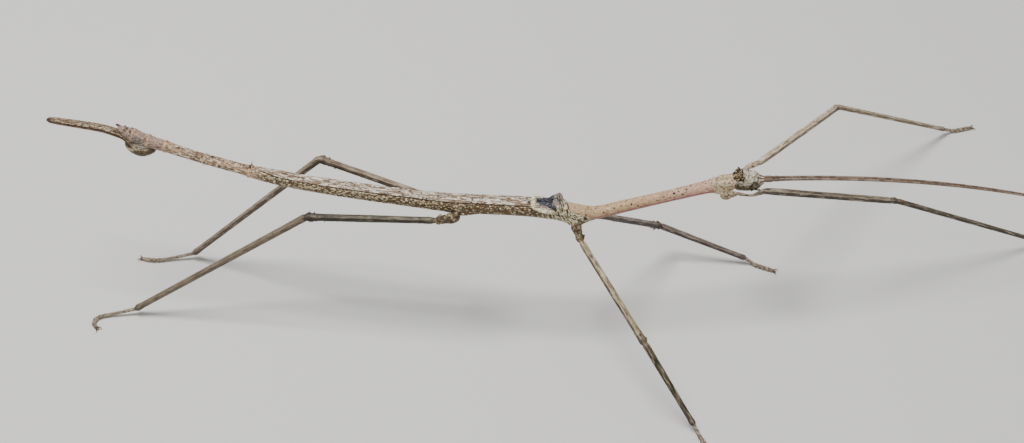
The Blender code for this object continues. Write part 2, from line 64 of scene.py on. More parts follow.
SHIFT = np.array((20.054, 12.704, 0.0))  # the frame's origin, seen from the tables'
UP = np.array((0.0, 0.0, 1.0))
SIGN = {"left": 1, "right": -1}

# The body's axis runs backwards, so its left is the insect's right.
AXIS_SIGN = {"left": -1, "right": 1}

# Body's axis and girth, hind end first: x, y, z, half width, half height.
TRUNK = (
    (-122.5, 19.3, 61.9, 0.4, 0.4),
    (-121.6, 19.15, 61.4, 1.1, 1.15),
    (-118.1, 18.5, 59.8, 1.9, 1.9),
    (-113.5, 17.6, 58.0, 1.9, 1.9),
    (-108.3, 16.7, 56.6, 1.75, 1.7),
    (-102.1, 15.4, 55.0, 1.6, 1.6),
    (-95.9, 14.2, 53.5, 1.6, 1.55),
    (-89.7, 13.0, 52.3, 1.7, 1.6),
    (-84.5, 12.0, 51.3, 1.65, 1.6),
    (-77.2, 10.6, 50.1, 2.15, 2.1),
    (-66.0, 8.2, 49.2, 2.3, 2.2),
    (-49.6, 5.1, 48.6, 2.45, 2.35),
    (-34.7, 3.3, 47.6, 2.55, 2.5),
    (-20.7, 1.7, 46.8, 2.8, 2.7),
    (-9.9, 1.1, 46.4, 2.85, 2.8),
    (2.5, 0.5, 46.2, 2.95, 2.85),
    (12.0, 0.2, 45.3, 2.95, 2.9),
    (19.5, 0.0, 44.0, 2.7, 2.6),
    (26.0, 0.8, 43.2, 2.05, 1.95),
    (34.8, 2.0, 44.8, 1.9, 1.85),
    (47.2, 4.3, 46.5, 1.8, 1.75),
    (59.6, 6.7, 48.2, 2.0, 1.9),
    (64.0, 7.5, 48.8, 2.4, 2.2),
    (68.4, 8.2, 49.3, 2.4, 2.2),
)
NECK_END = (70.8, 8.5, 49.3, 1.5, 1.5)

# The x of each joint between two segments, front first. The hind ones bear rings.
CUTS = (62.6, 19.6, -18.5, -26.0, -40.0, -54.0, -68.0, -82.2, -95.9, -108.3, -113.7, -118.4)
RINGED_CUTS = CUTS[7:]

# Stretches of the body's skin from a low to a high x.
NECK_ZONE = (62.3, 68.6)
THORAX_ZONE = (20.5, 62.5)
WINGED_ZONE = (-78.5, 17.5)
BELLY_ZONE = (-108.0, -18.5)
REAR_ZONE = (-108.0, -80.5)
TAIL_START = (-108.9, -107.9)  # the tail's share grows backwards over this stretch
COLLAR = 68.5  # the skin's front ring
BEAK_ROOM = -107.6  # the underside is pressed up behind it

# Sizes of a bark flake and of a hind wing's dash: length, then the two breadths.
BARK_FLAKE = (0.76, 0.36, 0.36)
DASH = (2.6, 0.38, 0.38)

# Arcs of bark ridges: the x and height over the body's axis of their centre, streaks to
# a radian, breadth of a ridge, and the seed of their noise.
BARK_CENTRE = (21.5, 4.5)
BARK_STREAKS = 2.9
BARK_RIDGE = 0.29
BARK_SEED = 21

# Swellings over the legs' roots: x, height, half length.
LEG_SWELLINGS = ((65.0, 1.0, 2.1), (19.8, 1.5, 3.0), (-15.2, 0.95, 3.6))

# Spines and warts: x, degrees round from the right side, half height, half length and
# half turn. The waist's and the tail's have dark tips.
WAIST_SPINES = ((-81.6, 78, 1.3, 0.55, 16), (-81.4, 104, 1.0, 0.5, 16), (-80.7, 90, 0.5, 0.6, 18))
REAR_SPINES = (
    (-76.5, 82, 0.5, 1.4, 16),
    (-74.8, 100, 0.45, 1.6, 14),
    (-72.6, 74, 0.35, 1.6, 12),
    (-108.9, 62, 0.4, 0.5, 18),
    (-114.2, 70, 0.45, 0.5, 18),
    (-113.9, 108, 0.4, 0.5, 18),
)
TAIL_SPINES = (
    (-118.9, 66, 0.5, 0.7, 24),
    (-118.7, 112, 0.4, 0.7, 24),
    (-120.2, 84, 0.5, 0.8, 30),
    (-120.8, 112, 0.4, 0.7, 30),
    (-120.6, 55, 0.4, 0.7, 26),
)
NECK_SPINES = (
    (63.4, 60, 0.25, 0.8, 14),
    (65.2, 124, 0.3, 0.8, 16),
    (66.8, 48, 0.25, 0.7, 14),
    (64.4, 96, 0.25, 0.7, 14),
)
SPINES = WAIST_SPINES + REAR_SPINES + TAIL_SPINES + NECK_SPINES

# Beak's axis and girth from inside its round base to its tip, as for the body.
BEAK = (
    (-110.7, 17.0, 55.4, 0.2, 0.2),
    (-111.1, 17.0, 55.3, 0.75, 0.7),
    (-111.9, 17.1, 55.1, 1.6, 1.4),
    (-113.8, 17.5, 55.0, 2.55, 2.4),
    (-115.8, 17.9, 55.15, 2.95, 2.85),
    (-117.8, 18.3, 56.0, 2.65, 2.5),
    (-119.6, 18.7, 57.8, 1.8, 1.7),
    (-121.7, 19.2, 59.1, 1.4, 1.4),
    (-127.0, 20.4, 60.4, 1.3, 1.3),
    (-134.5, 22.0, 60.7, 1.2, 1.25),
    (-141.8, 23.4, 60.9, 1.05, 1.15),
    (-144.4, 23.9, 60.9, 0.75, 0.85),
    (-145.2, 24.0, 60.9, 0.3, 0.35),
)

# Wings along x, and the hind wing's edge in degrees over the body's level.
WING_FRONT = 5.4
WING_TIP = -79.4
WING_EDGE = 47.0
TEGMEN_FRONT = 17.2
TEGMEN_BACK = 5.7
HINDWING_VEINS = (0.3, 0.62, 0.965)  # shares of the way from the back's middle to the edge
WING_SINK = 0.42
HUMP_AT, HUMP_ANGLE, HUMP_RISE = 13.2, 72.0, 1.6  # x, degrees over level, height

HEAD_BACK = np.array((68.6, 8.2, 49.35))
HEAD_FRONT = np.array((78.3, 9.35, 49.15))

# Head: distance along its axis from its back, half width, half height, lift of the middle.
HEAD = (
    (-0.6, 1.4, 1.4, 0.0),
    (0.0, 2.1, 2.1, 0.0),
    (0.7, 2.6, 2.7, 0.1),
    (1.9, 2.95, 3.05, 0.2),
    (3.4, 3.05, 3.15, 0.2),
    (5.0, 3.05, 3.15, 0.05),
    (6.6, 2.85, 2.95, -0.15),
    (7.8, 2.3, 2.4, -0.2),
    (8.8, 1.6, 1.6, -0.1),
    (9.7, 1.15, 0.95, 0.05),
    (10.1, 0.6, 0.5, 0.05),
)
HORN_AT, HORN_ANGLE = 1.9, 62.0

# Cusps of each horn: distance ahead of its middle, degrees from the top, half height.
HORN_CUSPS = ((-0.6, 22, 0.3), (0.2, 30, 0.35), (0.5, 42, 0.3), (-0.2, 13, 0.2), (1.2, 26, 0.25))

# Dark spots: distance along the head's axis, then as for the spines.
HEAD_SPOTS = ((7.6, 60, 1.0, 0.5, 12), (7.6, 120, 1.0, 0.5, 12), (4.6, 70, 0.8, 0.4, 9))

# Eye: distance along the head's axis, to the side and up, and its radius.
EYE_AT, EYE_OUT, EYE_UP, EYE_RADIUS = 6.1, 2.2, 0.15, 1.33

# Feelers. A root is this far along the head's axis, aside and up, and its socket's rim
# lies behind it. Yaw and pitch are those at the two ends, in degrees.
ANTENNA_LENGTH = 94.0
ANTENNA_ROOT = (9.95, 0.62, 0.2)
SOCKET = (9.5, 0.62, 0.25)
ANTENNA_YAW = (5.5, 9.5)
ANTENNA_PITCH = (-2.5, -22.0)
ANTENNA_CLOSING = 0.15  # degrees that each turns towards the other
SEGMENT = 2.3

# Radius of a feeler by distance from its root, and of a cercus by share of its length.
ANTENNA_RADII = (
    (-1.0, 0.45),
    (-0.3, 0.5),
    (0.4, 0.62),
    (2.2, 0.6),
    (2.9, 0.42),
    (3.3, 0.5),
    (4.4, 0.5),
    (4.9, 0.4),
    (30.0, 0.4),
    (60.0, 0.36),
    (88.0, 0.27),
    (93.6, 0.2),
    (94.0, 0.08),
)
CERCUS_RADII = ((-0.25, 0.2), (0.0, 0.32), (0.35, 0.43), (0.75, 0.36), (0.95, 0.24), (1.0, 0.1))

# Legs by pair: femur and tibia lengths, radii of hip, femur and tibia, foot's length and
# the share of it before its first joint.
LENGTHS = {"fore": (57.0, 60.0), "mid": (38.4, 30.8), "hind": (41.0, 69.0)}
RADII = {"fore": (1.25, 1.05, 0.82), "mid": (1.4, 1.05, 0.95), "hind": (1.5, 1.1, 1.1)}
FOOT_LENGTH = {"fore": 10.5, "mid": 10.0, "hind": 17.5}
FIRST_JOINT = {"fore": 0.42, "mid": 0.42, "hind": 0.6}

# Legs: x of the root, hip, yaw and pitch of the femur, yaw of the tibia, yaw and curl of
# the foot.
LEGS = {
    "fore_right": (65.0, (69.8, 3.9, 48.4), 14.2, -16.8, 12.6, 9.0, 0.0),
    "fore_left": (65.0, (71.8, 14.0, 47.3), 50.8, -11.4, 31.0, 15.0, 0.0),
    "mid_right": (20.0, (21.3, -7.5, 39.0), -57.9, -20.6, -39.9, -62.0, -10.0),
    "mid_left": (20.0, (24.8, 5.8, 37.4), 38.6, -38.5, -8.0, -24.0, 0.0),
    "hind_right": (-17.2, (-23.4, -3.8, 44.2), 173.6, -4.2, -177.2, -172.0, 122.0),
    "hind_left": (-17.2, (-21.2, 5.9, 42.6), 168.9, 16.2, 168.0, -172.0, -25.0),
}
ROOT_ANGLE = -38.0  # degrees of a leg's root over the body's level
ROOT_GAP = 0.3
ROOT_STALK = 0.95  # in hip radii
ANKLE_HEIGHT = 2.3  # of the axis over the floor, as for the sole
SOLE_HEIGHT = 0.6
FOOT_RADIUS = 0.65
LEG_RIDGES = (48, 132, -28, -152, -90)  # degrees round
LEG_LINES = (90, 10, 170, -60, -120)

# A fore thigh bends round the head: its corners ahead of the hip, outwards and up.
FORE_NECK = ((2.4, 0.6, -0.8), (5.0, 0.85, -1.3), (9.1, -0.6, -1.7))
NECK_BREADTH = 1.85  # of that stretch, over its height

# Leg tones: ridges, side and streaks, how far the tibia goes to a tone, and a pale hip's
# share.
# Each leg's tones are lighter or darker with how light falls on it: painted light and shade over
# the legs' colour.
LEG_TONES = {
    "fore_right": ((200, 186, 164), (112, 95, 77), (46, 38, 30), 0.8, (50, 42, 28), 0.4),
    "fore_left": ((246, 232, 206), (210, 186, 154), (92, 70, 54), 0.4, (116, 98, 68), 0.4),
    "mid_right": ((222, 206, 174), (154, 131, 98), (46, 39, 21), 1.0, (46, 39, 21), 0.0),
    "mid_left": ((180, 165, 152), (112, 97, 88), (52, 42, 40), 0.3, (52, 42, 40), 0.0),
    "hind_right": ((138, 130, 108), (62, 54, 40), (36, 29, 22), 0.6, (150, 131, 112), 0.0),
    "hind_left": ((204, 188, 166), (140, 118, 98), (68, 54, 43), 0.3, (68, 54, 43), 0.0),
}

FLOOR_HALF = 4.0  # metres
LIGHTS_AIM = (0.0, 0.0, 0.04)  # metres
CAMERA_AIM = np.array((0.0, -1.5, 41.5))
CAMERA_PITCH = 45.0
CAMERA_AWAY = 750.0


# ---------------------------------------------------------------- numbers and patterns


def unit(vectors):
    """Each vector over its own length."""
    vectors = np.asarray(vectors, float)
    return vectors / np.linalg.norm(vectors, axis=-1, keepdims=True)


def stacked(*parts):
    """The parts spread to one shape, side by side in a last axis."""
    return np.stack(np.broadcast_arrays(*parts), axis=-1)


def heading(yaw, pitch):
    """Unit vector at this yaw from +X towards +Y and this pitch over the horizon."""
    yaw, pitch = math.radians(yaw), math.radians(pitch)
    flat = math.cos(pitch)
    return np.array((flat * math.cos(yaw), flat * math.sin(yaw), math.sin(pitch)))


def fade(value, low, high):
    """0 up to low, 1 from high on, and between them 3tt - 2ttt of the share t."""
    t = np.clip((np.asarray(value, float) - low) / (high - low), 0.0, 1.0)
    return t * t * (3 - 2 * t)


def within(value, low, high, soft):
    """1 between low and high and 0 outside, with a soft edge of this width."""
    return fade(value, low - soft, low + soft) * (1 - fade(value, high - soft, high + soft))


def bell(value, middle, width):
    """exp of minus the square of the distance from the middle in widths."""
    return np.exp(-(((np.asarray(value, float) - middle) / width) ** 2))


def smooth_table(table, at):
    """Columns of the table at these first-column values, by a cubic through the rows
    whose slope at each row is that between its two neighbours."""
    rows = np.array(sorted(table), float)
    key = rows[:, 0]
    slopes = np.gradient(rows, axis=0) / np.gradient(key)[:, None]
    at = np.clip(np.atleast_1d(np.asarray(at, float)), key[0], key[-1])
    i = np.clip(np.searchsorted(key, at) - 1, 0, len(key) - 2)
    wide = (key[i + 1] - key[i])[:, None]
    t = ((at - key[i]) / (key[i + 1] - key[i]))[:, None]
    start = (2 * t**3 - 3 * t**2 + 1) * rows[i] + (t**3 - 2 * t**2 + t) * wide * slopes[i]
    end = (3 * t**2 - 2 * t**3) * rows[i + 1] + (t**3 - t**2) * wide * slopes[i + 1]
    return (start + end)[:, 1:]


def hashed(whole, seed):
    """A fixed value from 0 to 1 for each triple of whole numbers: their sum in large
    odd multiples, with its high bits folded into the low ones twice."""
    a = np.asarray(whole).astype(np.int64)
    n = a[..., 0] * 374761393 + a[..., 1] * 668265263 + a[..., 2] * 1442695041
    n = (n + seed * 144665) & 0xFFFFFFFF
    n = ((n ^ (n >> 13)) * 1274126177) & 0xFFFFFFFF
    return ((n ^ (n >> 16)) & 0xFFFFFF) / 0xFFFFFF


def soft_noise(points, seed=0):
    """Noise from -1 to 1: the fixed values of the eight whole-number corners round each
    point, weighted by smooth steps of its three fractions."""
    base = np.floor(points)
    t = points - base
    t = t * t * (3 - 2 * t)
    total = 0.0
    for corner in itertools.product((0, 1), repeat=3):
        weight = np.prod(np.where(np.array(corner, bool), t, 1 - t), axis=-1)
        total = total + weight * hashed(base + corner, seed)
    return 2 * total - 1


def rough_noise(points, octaves=3, seed=0):
    """Sum of soft noises, each twice as fine and half as high as the one before."""
    layers = [soft_noise(points * 2**k, seed + 7 * k) * 0.5**k for k in range(octaves)]
    return sum(layers) / sum(0.5**k for k in range(octaves))


def ridged_noise(points, seed=0):
    """1 along the lines where soft noise crosses zero, falling to 0 away from them."""
    return 1 - np.minimum(1, 2.4 * np.abs(rough_noise(points, 2, seed)))


def cells(points, seed=0):
    """For points scattered one to a unit cube: how much further away the second nearest
    is than the nearest, and a fixed value of the nearest."""
    base = np.floor(points)
    near = np.full(points.shape[:-1], 9.0)
    second = near.copy()
    own = np.zeros_like(near)
    for step in itertools.product((-1, 0, 1), repeat=3):
        cube = base + step
        place = cube + np.stack([hashed(cube, seed + k) for k in (1, 2, 3)], axis=-1)
        gap = np.linalg.norm(points - place, axis=-1)
        second = np.minimum(second, np.maximum(near, gap))
        own = np.where(gap < near, hashed(cube, seed + 4), own)
        near = np.minimum(near, gap)
    return second - near, own


def turn_between(theta, degrees):
    """Angle in degrees from these directions to theta, from -180 to 180."""
    return (np.degrees(theta) - degrees + 180) % 360 - 180


def knobs(along, theta, bumps):
    """Sum of pointed bumps. Where t is 1 minus the distance from a bump's middle in its
    own half lengths, along and round, it adds its half height times tt(1 + t)."""
    total = 0.0
    for middle, degrees, half_height, half_length, half_turn in bumps:
        off = np.hypot((along - middle) / half_length, turn_between(theta, degrees) / half_turn)
        near = np.maximum(0, 1 - off)
        total = total + half_height * near**2 * (1 + near)
    return total


def turns(count):
    """Directions round an axis in radians, as a row that starts straight down."""
    return np.linspace(-np.pi / 2, 1.5 * np.pi, count, endpoint=False)[None]


def raised(across, rise, height):
    """Offsets from an axis, each made longer by a height."""
    reach = np.hypot(across, rise)
    grow = (reach + height) / reach
    return across * grow, rise * grow


def scattered_knobs(count, seed, spans, sizes):
    """A list of bumps drawn by a fixed seed: along and round within spans, with half
    heights from a low to a high one and the other sizes up to 30 percent off."""
    draw = np.random.RandomState(seed)
    (first, last), (low_turn, high_turn) = spans
    (low, high), half_length, half_turn = sizes
    places = draw.uniform(first, last, count)
    angles = draw.uniform(low_turn, high_turn, count)
    heights = draw.uniform(low, high, count)
    grow = draw.uniform(0.7, 1.3, count)
    return [
        (place, angle, height, half_length * g, half_turn * g)
        for place, angle, height, g in zip(places, angles, heights, grow)
    ]


# ---------------------------------------------------------------------- paths and grids


def left_and_up(ahead):
    """The level way to the left of a way ahead, and the way up from both."""
    left = unit(np.cross(UP, ahead))
    return left, np.cross(ahead, left)


def lengths_along(path):
    """Length of a path up to each of its points."""
    steps = np.linalg.norm(np.diff(path, axis=0), axis=1)
    return np.concatenate(([0], np.cumsum(steps)))


def swept(path, across, rise):
    """Grid of points: each path point plus across times left plus rise times up."""
    left, up = left_and_up(unit(np.gradient(path, axis=0)))
    return path[:, None] + across[..., None] * left[:, None] + rise[..., None] * up[:, None]


def oval(theta, wide, high, square=2.2):
    """Superellipse: signed powers 2 / square of the cosine and the sine."""
    across = np.sign(np.cos(theta)) * np.abs(np.cos(theta)) ** (2 / square) * wide
    rise = np.sign(np.sin(theta)) * np.abs(np.sin(theta)) ** (2 / square) * high
    return across, rise


def rounded_path(corners, bends, step):
    """Even points along straight runs between corners. Each corner is cut by a
    quadratic curve that starts its bend length before the corner and ends that far
    after it. Also gives each corner's length along the path."""
    corners = np.asarray(corners, float)
    pieces = [corners[:1]]
    for i in range(1, len(corners) - 1):
        before, here, after = corners[i - 1], corners[i], corners[i + 1]
        reach = min(
            bends[i], 0.49 * np.linalg.norm(here - before), 0.49 * np.linalg.norm(after - here)
        )
        start = here + unit(before - here) * reach
        stop = here + unit(after - here) * reach
        t = np.linspace(0, 1, 9)[:, None]
        pieces.append((1 - t) ** 2 * start + 2 * t * (1 - t) * here + t**2 * stop)
    pieces.append(corners[-1:])
    line = np.vstack(pieces)
    length = lengths_along(line)
    even = np.linspace(0, length[-1], int(length[-1] / step) + 2)
    path = np.stack([np.interp(even, length, line[:, k]) for k in range(3)], axis=1)
    nearest = [np.argmin(np.linalg.norm(path - corner, axis=1)) for corner in corners]
    return path, even, even[nearest]


def shell_mesh(points):
    """Vertices and faces of a grid closed round its second parameter, with a fan of
    triangles to the middle of each end ring, turned to face outwards."""
    rows, cols = points.shape[:2]
    index = np.arange(rows * cols).reshape(rows, cols)
    on = np.roll(index, -1, axis=1)
    quads = np.stack((index[:-1], on[:-1], on[1:], index[1:]), axis=-1).reshape(-1, 4)
    start = np.full(cols, rows * cols)
    fans = np.vstack(
        (
            np.stack((start, on[0], index[0]), axis=-1),
            np.stack((start + 1, index[-1], on[-1]), axis=-1),
        )
    )
    ends = np.stack((points[0].mean(axis=0), points[-1].mean(axis=0)))
    places = np.vstack((points.reshape(-1, 3), ends))
    centred = places - places.mean(axis=0)
    halves = np.vstack((quads[:, [0, 1, 2]], quads[:, [0, 2, 3]], fans))
    corner = centred[halves]
    if (np.cross(corner[:, 0], corner[:, 1]) * corner[:, 2]).sum() < 0:
        quads, fans = quads[:, ::-1], fans[:, ::-1]
    return places, quads, fans


def with_ends(values):
    """Grid values as one list, with the means of the end rings after them."""
    flat = values.reshape(-1, *values.shape[2:])
    ends = np.stack((values[0].mean(axis=0), values[-1].mean(axis=0)))
    return np.concatenate((flat, ends))


def link_new(name, content):
    """New object in the scene."""
    made = bpy.data.objects.new(name, content)
    bpy.context.scene.collection.objects.link(made)
    return made


def add_piece(name, shells, look, nodes):
    """One object from closed grids. Each shell is its grid of points and its marks by
    name. The piece rides on the root and stands for these nodes."""
    places, faces3, faces4, marks = [], [], [], {}
    count = 0
    for points, shell_marks in shells:
        found, quads, fans = shell_mesh(points)
        places.append(found)
        faces4.append(quads + count)
        faces3.append(fans + count)
        count += len(found)
        for key, values in shell_marks.items():
            values = np.asarray(values, float)
            full = np.broadcast_to(values, (*points.shape[:2], *values.shape[2:]))
            marks.setdefault(key, []).append(with_ends(full))
    places = (np.vstack(places) - SHIFT) * MM
    faces4, faces3 = np.vstack(faces4), np.vstack(faces3)
    mesh = bpy.data.meshes.new(name)
    mesh.vertices.add(len(places))
    mesh.vertices.foreach_set("co", places.ravel())
    mesh.loops.add(faces4.size + faces3.size)
    mesh.loops.foreach_set("vertex_index", np.concatenate((faces4.ravel(), faces3.ravel())))
    mesh.polygons.add(len(faces4) + len(faces3))
    starts = (np.arange(len(faces4)) * 4, faces4.size + np.arange(len(faces3)) * 3)
    mesh.polygons.foreach_set("loop_start", np.concatenate(starts))
    mesh.update(calc_edges=True)
    mesh.shade_smooth()
    for key, values in marks.items():
        values = np.concatenate(values)
        kind, field = ("FLOAT_VECTOR", "vector") if values.ndim == 2 else ("FLOAT", "value")
        mesh.attributes.new(key, kind, "POINT").data.foreach_set(field, values.ravel())
    mesh.materials.append(look)
    made = link_new(name, mesh)
    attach(made, "root")
    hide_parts(*nodes)


def tube_shell(path, radii, cols, marks=None):
    """Round rod along a path with a radius at each point, and its grain."""
    theta = np.linspace(0, 2 * np.pi, cols, endpoint=False)[None]
    radii = np.asarray(radii, float)[:, None]
    across, rise = radii * np.cos(theta), radii * np.sin(theta)
    full = {"grain": stacked(lengths_along(path)[:, None], across, rise), **(marks or {})}
    return swept(path, across, rise), full


def ball_shell(centre, axes, rows, cols, marks=None):
    """Ellipsoid: the centre plus the three axes times the cosine and sines of two
    angles, from one pole to the other."""
    down = np.linspace(0.02, np.pi - 0.02, rows)[:, None]
    turn = np.linspace(0, 2 * np.pi, cols, endpoint=False)[None]
    parts = stacked(np.cos(down), np.sin(down) * np.cos(turn), np.sin(down) * np.sin(turn))
    offsets = parts @ np.asarray(axes, float)
    return centre + offsets, {"grain": offsets, **(marks or {})}


# ----------------------------------------------------------------------------- materials


def toned(colour):
    """A socket as it is, or the linear colour for the usual 0 to 255 steps."""
    if isinstance(colour, tuple):
        return (*((step / 255) ** 2.2 for step in colour), 1.0)
    return colour


def add_node(tree, kind, settings=None, **inputs):
    """New node with these settings. An input is a socket to link or a plain value."""
    made = tree.nodes.new(kind)
    for key, value in (settings or {}).items():
        setattr(made, key, value)
    for key, value in inputs.items():
        feed(tree, made.inputs[key.replace("_", " ")], value)
    return made


def feed(tree, socket, value):
    """Links another node's socket, or sets a plain value."""
    if isinstance(value, bpy.types.NodeSocket):
        tree.links.new(value, socket)
    else:
        socket.default_value = value


def mixed(tree, share, first, second):
    """Colour that goes from the first to the second as the share goes from 0 to 1."""
    made = add_node(tree, "ShaderNodeMix", {"data_type": "RGBA"})
    for index, value in ((0, share), (6, toned(first)), (7, toned(second))):
        feed(tree, made.inputs[index], value)
    return made.outputs[2]


def maths(tree, operation, first, second, clamp=True):
    """One operation on two numbers, kept from 0 to 1 unless told otherwise."""
    made = add_node(tree, "ShaderNodeMath", {"operation": operation, "use_clamp": clamp})
    feed(tree, made.inputs[0], first)
    feed(tree, made.inputs[1], second)
    return made.outputs[0]


def times(tree, first, second):
    """Product, kept from 0 to 1."""
    return maths(tree, "MULTIPLY", first, second)


def mark(tree, name):
    """Value of one of the piece's own marks."""
    return add_node(tree, "ShaderNodeAttribute", {"attribute_name": name}).outputs["Fac"]


def grain(tree):
    """The piece's own straightened coordinates, in millimetres."""
    return add_node(tree, "ShaderNodeAttribute", {"attribute_name": "grain"}).outputs["Vector"]


def new_group(name, numbers, result):
    """Shader group with a vector and these numbers going in and one number coming out.
    Gives the group, the sockets that go in by name, and the one that comes out."""
    group = bpy.data.node_groups.new(name, "ShaderNodeTree")
    group.interface.new_socket(name="Vector", in_out="INPUT", socket_type="NodeSocketVector")
    for label in numbers:
        group.interface.new_socket(name=label, in_out="INPUT", socket_type="NodeSocketFloat")
    group.interface.new_socket(name=result, in_out="OUTPUT", socket_type="NodeSocketFloat")
    given = group.nodes.new("NodeGroupInput").outputs
    return group, given, group.nodes.new("NodeGroupOutput").inputs[0]


def stretched(tree, vector, size, stretch):
    """The vector over the size, with its first part over the stretch as well."""
    inverse = maths(tree, "DIVIDE", 1.0, size, clamp=False)
    along = maths(tree, "DIVIDE", inverse, stretch, clamp=False)
    scale = add_node(tree, "ShaderNodeCombineXYZ", X=along, Y=inverse, Z=inverse)
    product = add_node(tree, "ShaderNodeVectorMath", {"operation": "MULTIPLY"})
    feed(tree, product.inputs[0], vector)
    feed(tree, product.inputs[1], scale.outputs[0])
    return product.outputs[0]


def make_mottle():
    """Patches: noise of a size, stretched along the grain, cut from Low to High."""
    group, given, mask = new_group("Mottle", ("Size", "Stretch", "Low", "High"), "Mask")
    place = stretched(group, given["Vector"], given["Size"], given["Stretch"])
    noise = add_node(
        group, "ShaderNodeTexNoise", Vector=place, Scale=1.0, Detail=4.0, Roughness=0.55
    )
    cut = add_node(
        group,
        "ShaderNodeMapRange",
        {"interpolation_type": "SMOOTHSTEP"},
        Value=noise.outputs["Fac"],
        From_Min=given["Low"],
        From_Max=given["High"],
    )
    feed(group, mask, cut.outputs["Result"])
    return group


def make_specks():
    """Round dots: one in each Voronoi cell of the spacing, as wide as the size times
    the cell's own random share, and none where that share is small. A dot is full out
    to 0.6 of its reach and fades from there."""
    group, given, mask = new_group("Specks", ("Spacing", "Size"), "Mask")
    place = stretched(group, given["Vector"], given["Spacing"], 1.15)
    dots = add_node(group, "ShaderNodeTexVoronoi", Vector=place, Scale=1.0, Randomness=1.0)
    parts = add_node(group, "ShaderNodeSeparateColor", Color=dots.outputs["Color"])
    share = add_node(
        group, "ShaderNodeMapRange", Value=parts.outputs["Red"], From_Min=0.25, From_Max=1.0
    ).outputs["Result"]
    size = maths(group, "DIVIDE", given["Size"], given["Spacing"], clamp=False)
    reach = times(group, size, share)
    inner = times(group, reach, 0.6)
    gap = maths(group, "SUBTRACT", dots.outputs["Distance"], inner, clamp=False)
    width = maths(group, "MAXIMUM", maths(group, "SUBTRACT", reach, inner), 0.004, clamp=False)
    full = maths(group, "SUBTRACT", 1.0, maths(group, "DIVIDE", gap, width))
    shown = maths(group, "GREATER_THAN", share, 0.02)
    feed(group, mask, times(group, full, shown))
    return group


def make_relief():
    """Height of fine wrinkles along the grain plus finer grit."""
    group, given, height = new_group("Relief", ("Size", "Stretch", "Grit"), "Height")
    place = stretched(group, given["Vector"], given["Size"], given["Stretch"])
    wrinkles = add_node(group, "ShaderNodeTexNoise", Vector=place, Scale=1.0, Detail=3.0)
    grit = add_node(group, "ShaderNodeTexNoise", Vector=given["Vector"], Scale=7.0, Detail=2.0)
    fine = maths(group, "MULTIPLY", grit.outputs["Fac"], given["Grit"], clamp=False)
    feed(group, height, maths(group, "ADD", wrinkles.outputs["Fac"], fine, clamp=False))
    return group


def placed(tree, group, **inputs):
    """Mask or height from one of the groups, laid along the grain with these values."""
    made = tree.nodes.new("ShaderNodeGroup")
    made.node_tree = group
    for key, value in {"Vector": grain(tree), **inputs}.items():
        feed(tree, made.inputs[key], value)
    return made.outputs[0]


def patches(tree, size, stretch, low, high):
    """Patches of a size in millimetres, stretched along the grain."""
    return placed(tree, MOTTLE, Size=size, Stretch=stretch, Low=low, High=high)


def specks(tree, spacing, size):
    """Dots of a size and spacing in millimetres."""
    return placed(tree, SPECKS, Spacing=spacing, Size=size)


def layered(tree, colour, *layers):
    """The colour with others laid over it in turn. A layer is its share, its colour and,
    where it is weaker, what the share is times. The share is a socket, the name of a
    mark, or the size, stretch, low and high of patches."""
    for share, over, *weaker in layers:
        if isinstance(share, str):
            share = mark(tree, share)
        elif isinstance(share, tuple):
            share = patches(tree, *share)
        for part in weaker:
            share = times(tree, share, part)
        colour = mixed(tree, share, colour, over)
    return colour


def new_look(name):
    """Material and its tree."""
    made = bpy.data.materials.new(name)
    made.use_nodes = True
    return made, made.node_tree


def shader_inputs(tree):
    """The inputs of a material's Principled shader."""
    return tree.nodes["Principled BSDF"].inputs


def finished(made, colour, rough, relief, depth):
    """The material with its colour, a patchy roughness between two values, and a bump
    of this depth in millimetres with the size, stretch and grit of its relief."""
    tree = made.node_tree
    surface = shader_inputs(tree)
    feed(tree, surface["Base Color"], colour)
    sheen = add_node(
        tree,
        "ShaderNodeMapRange",
        Value=patches(tree, 0.8, 1.5, 0.3, 0.7),
        To_Min=rough[0],
        To_Max=rough[1],
    )
    feed(tree, surface["Roughness"], sheen.outputs["Result"])
    size, stretch, grit = relief
    height = placed(tree, RELIEF, Size=size, Stretch=stretch, Grit=grit)
    bump = add_node(tree, "ShaderNodeBump", Strength=0.8, Distance=depth * MM, Height=height)
    feed(tree, surface["Normal"], bump.outputs["Normal"])
    return made


